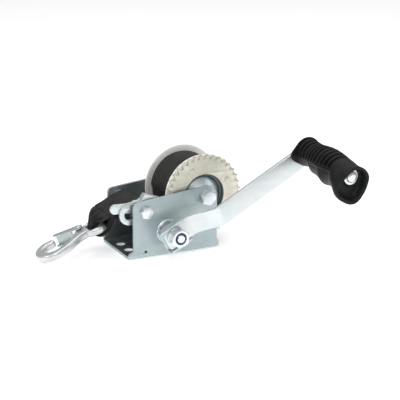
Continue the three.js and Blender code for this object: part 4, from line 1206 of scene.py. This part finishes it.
def build_latch():
    """Two cheeks and the web between them, folded from one sheet."""
    cheek = arc(*LATCH_PIVOT, 4.4, -109, 69, 20) + [(44.0, 12.8)]
    tip = [(28.8, 17.7), (26.8, 17.2), (25.4, 14.9), (28.6, 12.4), (37.6, 7.0)]
    cheek += soften(tip, 0.9, 3, closed=False)
    sides = ((5.3, 6.3), (-6.3, -5.3))
    parts = [plate_z("latch_cheek", cheek, *side, edge=0.3, place=HOOK) for side in sides]
    web = [(28.9, 17.55), (28.5, 16.3), (43.4, 11.8), (44.4, 12.6)]
    parts.append(plate_z("latch_web", web, -6.28, 6.28, edge=0.25, place=HOOK))
    bore = plate_z("hole", circle(*LATCH_PIVOT, 1.65, 24), -20, 20, edge=0.05, place=HOOK)
    keep(drilled(united("hook_latch_folded", parts), bore), "latch", "dish", "hook_latch")


def build_latch_rivet():
    """The latch's pin, with a head on each side of the hook."""
    half = [(1.5, 6.4), (2.8, 6.45), (2.5, 7.0), (1.4, 7.35), (0.0, 7.4)]
    profile = [(r, -y) for r, y in half[::-1]] + half
    place = HOOK @ Matrix.Translation((*LATCH_PIVOT, 0)) @ Matrix.Rotation(pi / 2, 4, "X")
    rivet = turned("latch_rivet_headed", profile, place=place, steps=40, round_by=0.15)
    keep(rivet, "hook", "bolt", "latch_rivet")


def build_latch_spring():
    """A coil round the rivet with one leg along the hook's neck."""
    px, py = LATCH_PIVOT
    steps = 60
    start = math.degrees(-0.9)
    coil = arc(px, py, 2.5, start, start + 360 * 1.5, steps)
    points = [(x, y, 4.36 + 0.4 * i / steps) for i, (x, y) in enumerate(coil)]
    x, y, _ = points[-1]
    points += smooth([points[-1], (x + 1.6, y - 2.6, 4.75), (px + 8.1, py - 4.7, 4.7)], 8)[1:]
    keep(placed(tube_mesh("latch_spring_wire", points, 0.32), HOOK), "hook", "spring", "latch_spring")


# ---------------- stage

def build_stage():
    """A plain white floor, an even studio round it, and four soft lights."""
    bpy.ops.mesh.primitive_plane_add(size=12.0, location=(0, 0, -0.0006))
    floor = bpy.context.object
    floor.name = "floor"
    floor.data.materials.append(floor_paint("floor_paint"))
    world = bpy.context.scene.world or bpy.data.worlds.new("studio")
    bpy.context.scene.world = world
    world.use_nodes = True
    fill(world.node_tree.nodes["Background"], {"Strength": 0.55, "Color": studio_walls(world.node_tree)})
    area_light("key", (-0.9, -1.3, 1.7), (0, 0, 0.03), 1.1, 13)
    area_light("top", (0.3, 0.3, 1.9), (0, 0, 0.0), 1.6, 9)
    area_light("side", (1.6, -0.8, 0.9), (0.05, 0, 0.05), 0.9, 5)
    area_light("left", (-1.5, -0.2, 0.9), (0, 0, 0.04), 0.5, 5)
    bpy.context.scene.view_settings.view_transform = "Standard"


def studio_walls(tree):
    """A bright ceiling over darker walls, so that bright metal has something dark to reflect."""
    way = tree.nodes.new("ShaderNodeTexCoord").outputs["Generated"]
    up = new_node("ShaderNodeSeparateXYZ", {"Vector": way}).outputs["Z"]
    stops = ((0.0, (0.30, 0.31, 0.32)), (0.2, (0.34, 0.35, 0.36)), (0.42, (0.72, 0.73, 0.74)),
             (0.75, (1.0, 1.0, 1.0)))
    return ramp(mapped(up, -0.1, 1.0, 0.0, 1.0), stops)


def aimed(obj, place, target):
    """A camera or light at place that looks at target."""
    obj.location = place
    obj.rotation_euler = (Vector(target) - Vector(place)).to_track_quat("-Z", "Y").to_euler()
    return obj


def area_light(name, place, target, size, power):
    data = bpy.data.lights.new(name, "AREA")
    data.shape = "SQUARE"
    data.size = size
    data.energy = power
    aimed(add_object(name, data), place, target)


def build_camera():
    data = bpy.data.cameras.new("camera")
    data.sensor_width = 36.0
    data.lens = 99.63
    camera = add_object("camera", data)
    bpy.context.scene.camera = aimed(camera, (-0.4383, -0.9656, 0.3449), (0.0382, -0.0126, 0.0445))


# ---------------- all of it

for build in (build_camera, build_stage, build_frame, build_drum_gear, build_flanges, build_hubs,
              build_strap_roll, build_strap_lead, build_axle, build_pawl_bolt, build_bushes, build_shaft,
              build_arm, build_bracket, build_crank_nut, build_spindle, build_grip, build_pawl,
              build_pawl_spring, build_hook, build_latch, build_latch_rivet, build_latch_spring):
    build()
# The drum's core gets the painted shade; the anchor pin and the axle sleeve get dark steel.
for node, material in (("drum_core", "inside"), ("strap_anchor_pin", "steel"), ("axle_sleeve", "steel")):
    paint(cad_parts[node], material)
